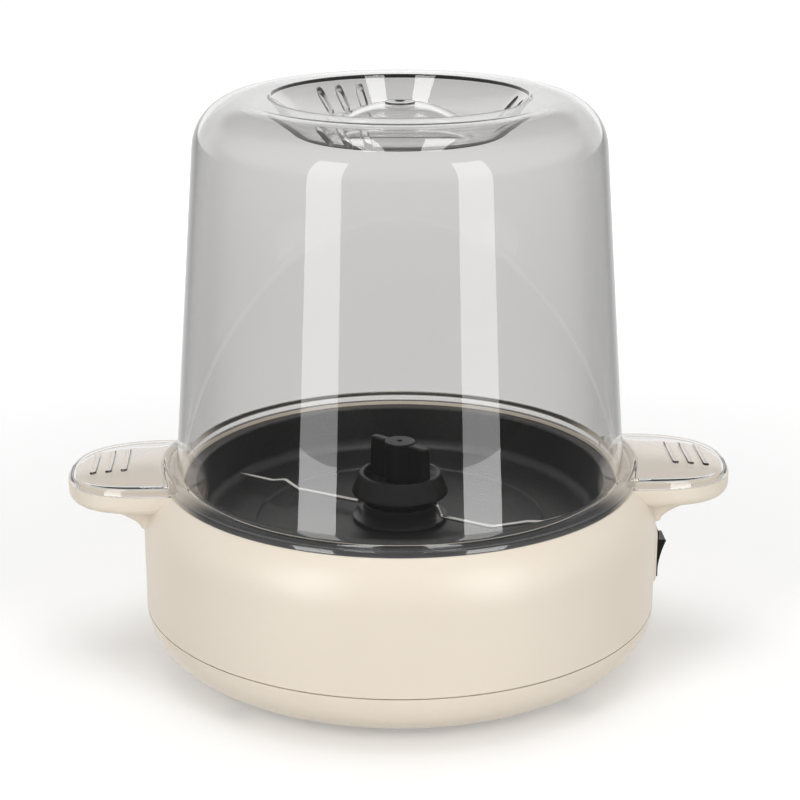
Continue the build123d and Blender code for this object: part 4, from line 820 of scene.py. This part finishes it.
class POPCORN_OT_stage(bpy.types.Operator):
    """Pale floor, backdrop, lamps and camera"""
    bl_idname = "popcorn.stage"
    bl_label = "Stage"

    def execute(self, context):
        studio = context.scene.popcorn_studio
        context.scene.view_settings.view_transform = "Standard"
        self.floor(studio)
        self.world(context.scene, studio)
        for side in (-1, 1):
            self.strip(studio, side)
        area_light("top_light", studio.top, SOFT_SIZE, TOP_LIGHT, (0, 0, 0), LIGHTS_ONLY)
        area_light("back_light", studio.back, SOFT_SIZE, BACK_LIGHT, (-BACK_TILT, 0, 0), LIGHTS_ONLY)
        for side in (-1, 1):
            place = (side * PANEL_OUT, PANEL_BACK, PANEL_UP)
            area_light("panel_light", studio.panel, PANEL_SIZE, place, (0, 0, 0), MIRRORED_ONLY)
        self.camera(context.scene, studio)
        return {"FINISHED"}

    def floor(self, studio):
        """Disc under the feet, white to the camera where it is lit and darker in the shadow.

        The white is a lift that grows with the distance from the object. Through glass the lift is weaker
        and the floor a little darker, and in reflections only a share of the floor shows.
        """
        angle = np.linspace(0, 2 * np.pi, FLOOR_SIDES, endpoint=False)
        ring = np.stack([np.cos(angle), np.sin(angle), 0 * angle], 1) * FLOOR_R
        row = np.arange(FLOOR_SIDES)
        fans = np.stack([np.full(FLOOR_SIDES, FLOOR_SIDES), row, (row + 1) % FLOOR_SIDES], 1)
        floor = new_object("floor", (np.concatenate([ring, [(0, 0, 0)]]), np.zeros((0, 4), int), fans))
        material = bpy.data.materials.new("floor")
        material.use_nodes = True
        tree = material.node_tree
        shader = tree.nodes["Principled BSDF"]
        shader.inputs["Roughness"].default_value = 0.9
        shader.inputs["Specular IOR Level"].default_value = 0.0
        shader.inputs["Emission Color"].default_value = WHITE
        away = vectors(tree, "LENGTH", object_place(tree))["Value"]
        lift = ramp(tree, away, (0.2, studio.lift), (0.9, studio.far_lift))
        glass_lift = ramp(tree, away, (0.3, 0.0), (1.4, studio.far_lift * studio.glass_share))
        path = add(tree, "ShaderNodeLightPath").outputs
        direct = unreflected(tree, path)
        glass = path["Is Transmission Ray"]
        seen = sums(tree, "MULTIPLY", path["Is Camera Ray"], lift)
        through = sums(tree, "MULTIPLY", sums(tree, "MULTIPLY", glass, direct), glass_lift)
        tree.links.new(sums(tree, "ADD", seen, through), shader.inputs["Emission Strength"])
        dimmed = sums(tree, "MULTIPLY_ADD", glass, -studio.glass_loss, 1.0)
        share = sums(tree, "MULTIPLY", sums(tree, "MAXIMUM", direct, studio.floor_mirror), dimmed)
        tree.links.new(scaled(tree, studio.floor, share), shader.inputs["Base Color"])
        floor.data.materials.append(material)
        floor.visible_glossy = False

    def world(self, scene, studio):
        """White to the camera, grey through glass, a lit room in reflections, and soft fill for the rest.

        With the direction (x, y, z), the backdrop ends at a height of about z = 0.4. Through glass the
        ceiling's brightness follows above it. Reflections show the backdrop only on the far side, y > 0,
        with the ceiling from z = 0 up and a dark room elsewhere.
        """
        world = bpy.data.worlds.new("studio")
        world.use_nodes = True
        scene.world = world
        tree = world.node_tree
        background = tree.nodes["Background"]
        along = split(tree, add(tree, "ShaderNodeTexCoord").outputs["Generated"])
        path = add(tree, "ShaderNodeLightPath").outputs
        direct = unreflected(tree, path)
        behind = ramp(tree, along["Z"], (0.3, studio.behind), (0.55, studio.ceiling))
        through = sums(tree, "MULTIPLY", path["Is Transmission Ray"], behind)
        low = ramp(tree, along["Z"], (0.3, 1.0), (0.55, studio.room))
        far = ramp(tree, along["Y"], (0.35, studio.room), (0.8, 1.0))
        ceiling = ramp(tree, along["Z"], (0.0, 0.0), (0.25, studio.ceiling))
        around = sums(tree, "MAXIMUM", ceiling, sums(tree, "MINIMUM", low, far))
        mirrored = sums(tree, "MULTIPLY", sums(tree, "SUBTRACT", 1.0, direct), around)
        glass = sums(tree, "MAXIMUM", sums(tree, "MULTIPLY", through, direct), mirrored)
        seen = sums(tree, "MAXIMUM", path["Is Camera Ray"], glass)
        diffuse = path["Is Diffuse Ray"]
        soft = sums(tree, "MULTIPLY", diffuse, studio.fill)
        sharp = sums(tree, "MULTIPLY", sums(tree, "SUBTRACT", 1.0, diffuse), seen)
        tree.links.new(sums(tree, "ADD", soft, sharp), background.inputs["Strength"])
        background.inputs["Color"].default_value = WHITE

    def strip(self, studio, side):
        """Tall strip light beside the camera: a lamp, and in front of it what reflections show of it.

        The image has a brighter foot below the table, and none of the three is seen through glass.
        """
        turn = studio.yaw + side * studio.strip_turn
        for low, high, radiance, gap, hidden in (
                (0.0, studio.strip_height, studio.strip, IMAGE_GAP, LIGHTS_ONLY),
                (0.0, studio.strip_height, studio.strip_image, 0.0, MIRRORED_ONLY),
                (-studio.strip_drop, 0.0, studio.strip_foot, 0.0, MIRRORED_ONLY)):
            away = studio.strip_away + gap
            place = (-away * math.sin(turn), -away * math.cos(turn), (low + high) / 2)
            area_light("strip_light", radiance, (studio.strip_width, high - low), place,
                       (math.pi / 2, 0, -turn), hidden)

    def camera(self, scene, studio):
        """Camera at the photograph's viewing angle."""
        camera = bpy.data.cameras.new("photo_camera")
        camera.sensor_width = SENSOR_MM
        camera.lens = studio.lens
        eye = bpy.data.objects.new("photo_camera", camera)
        eye.location = (-studio.away * math.sin(studio.yaw), -studio.away * math.cos(studio.yaw), studio.high)
        eye.rotation_euler = (math.pi / 2 - studio.pitch, 0, -studio.yaw)
        scene.collection.objects.link(eye)
        scene.camera = eye


class POPCORN_PT_panel(bpy.types.Panel):
    """The pieces of the popcorn maker and its stage"""
    bl_idname = "POPCORN_PT_panel"
    bl_label = "Popcorn maker"
    bl_space_type = "VIEW_3D"
    bl_region_type = "UI"
    bl_category = "Popcorn maker"

    def draw(self, context):
        for operator in OPERATORS:
            self.layout.operator(operator.bl_idname)
        for group in (context.scene.popcorn_dome, context.scene.popcorn_finish, context.scene.popcorn_studio):
            for label in group.bl_rna.properties.keys():
                if label not in ("rna_type", "name"):
                    self.layout.prop(group, label)


OPERATORS = (POPCORN_OT_base, POPCORN_OT_pan, POPCORN_OT_stirrer, POPCORN_OT_switch, POPCORN_OT_inside,
             POPCORN_OT_dome, POPCORN_OT_stage)
CLASSES = (DomeSizes, Finishes, Studio, *OPERATORS, POPCORN_PT_panel)


def register():
    """Register the classes and hang the property groups on the scene."""
    for entry in CLASSES:
        bpy.utils.register_class(entry)
    bpy.types.Scene.popcorn_dome = PointerProperty(type=DomeSizes)
    bpy.types.Scene.popcorn_finish = PointerProperty(type=Finishes)
    bpy.types.Scene.popcorn_studio = PointerProperty(type=Studio)


def unregister():
    """Take the property groups and the classes away again."""
    del bpy.types.Scene.popcorn_dome
    del bpy.types.Scene.popcorn_finish
    del bpy.types.Scene.popcorn_studio
    for entry in reversed(CLASSES):
        bpy.utils.unregister_class(entry)


def main():
    """Make every piece and the stage."""
    register()
    bpy.ops.popcorn.base()
    bpy.ops.popcorn.pan()
    bpy.ops.popcorn.stirrer()
    bpy.ops.popcorn.switch()
    bpy.ops.popcorn.inside()
    bpy.ops.popcorn.dome()
    bpy.ops.popcorn.stage()


if __name__ == "__main__":
    main()
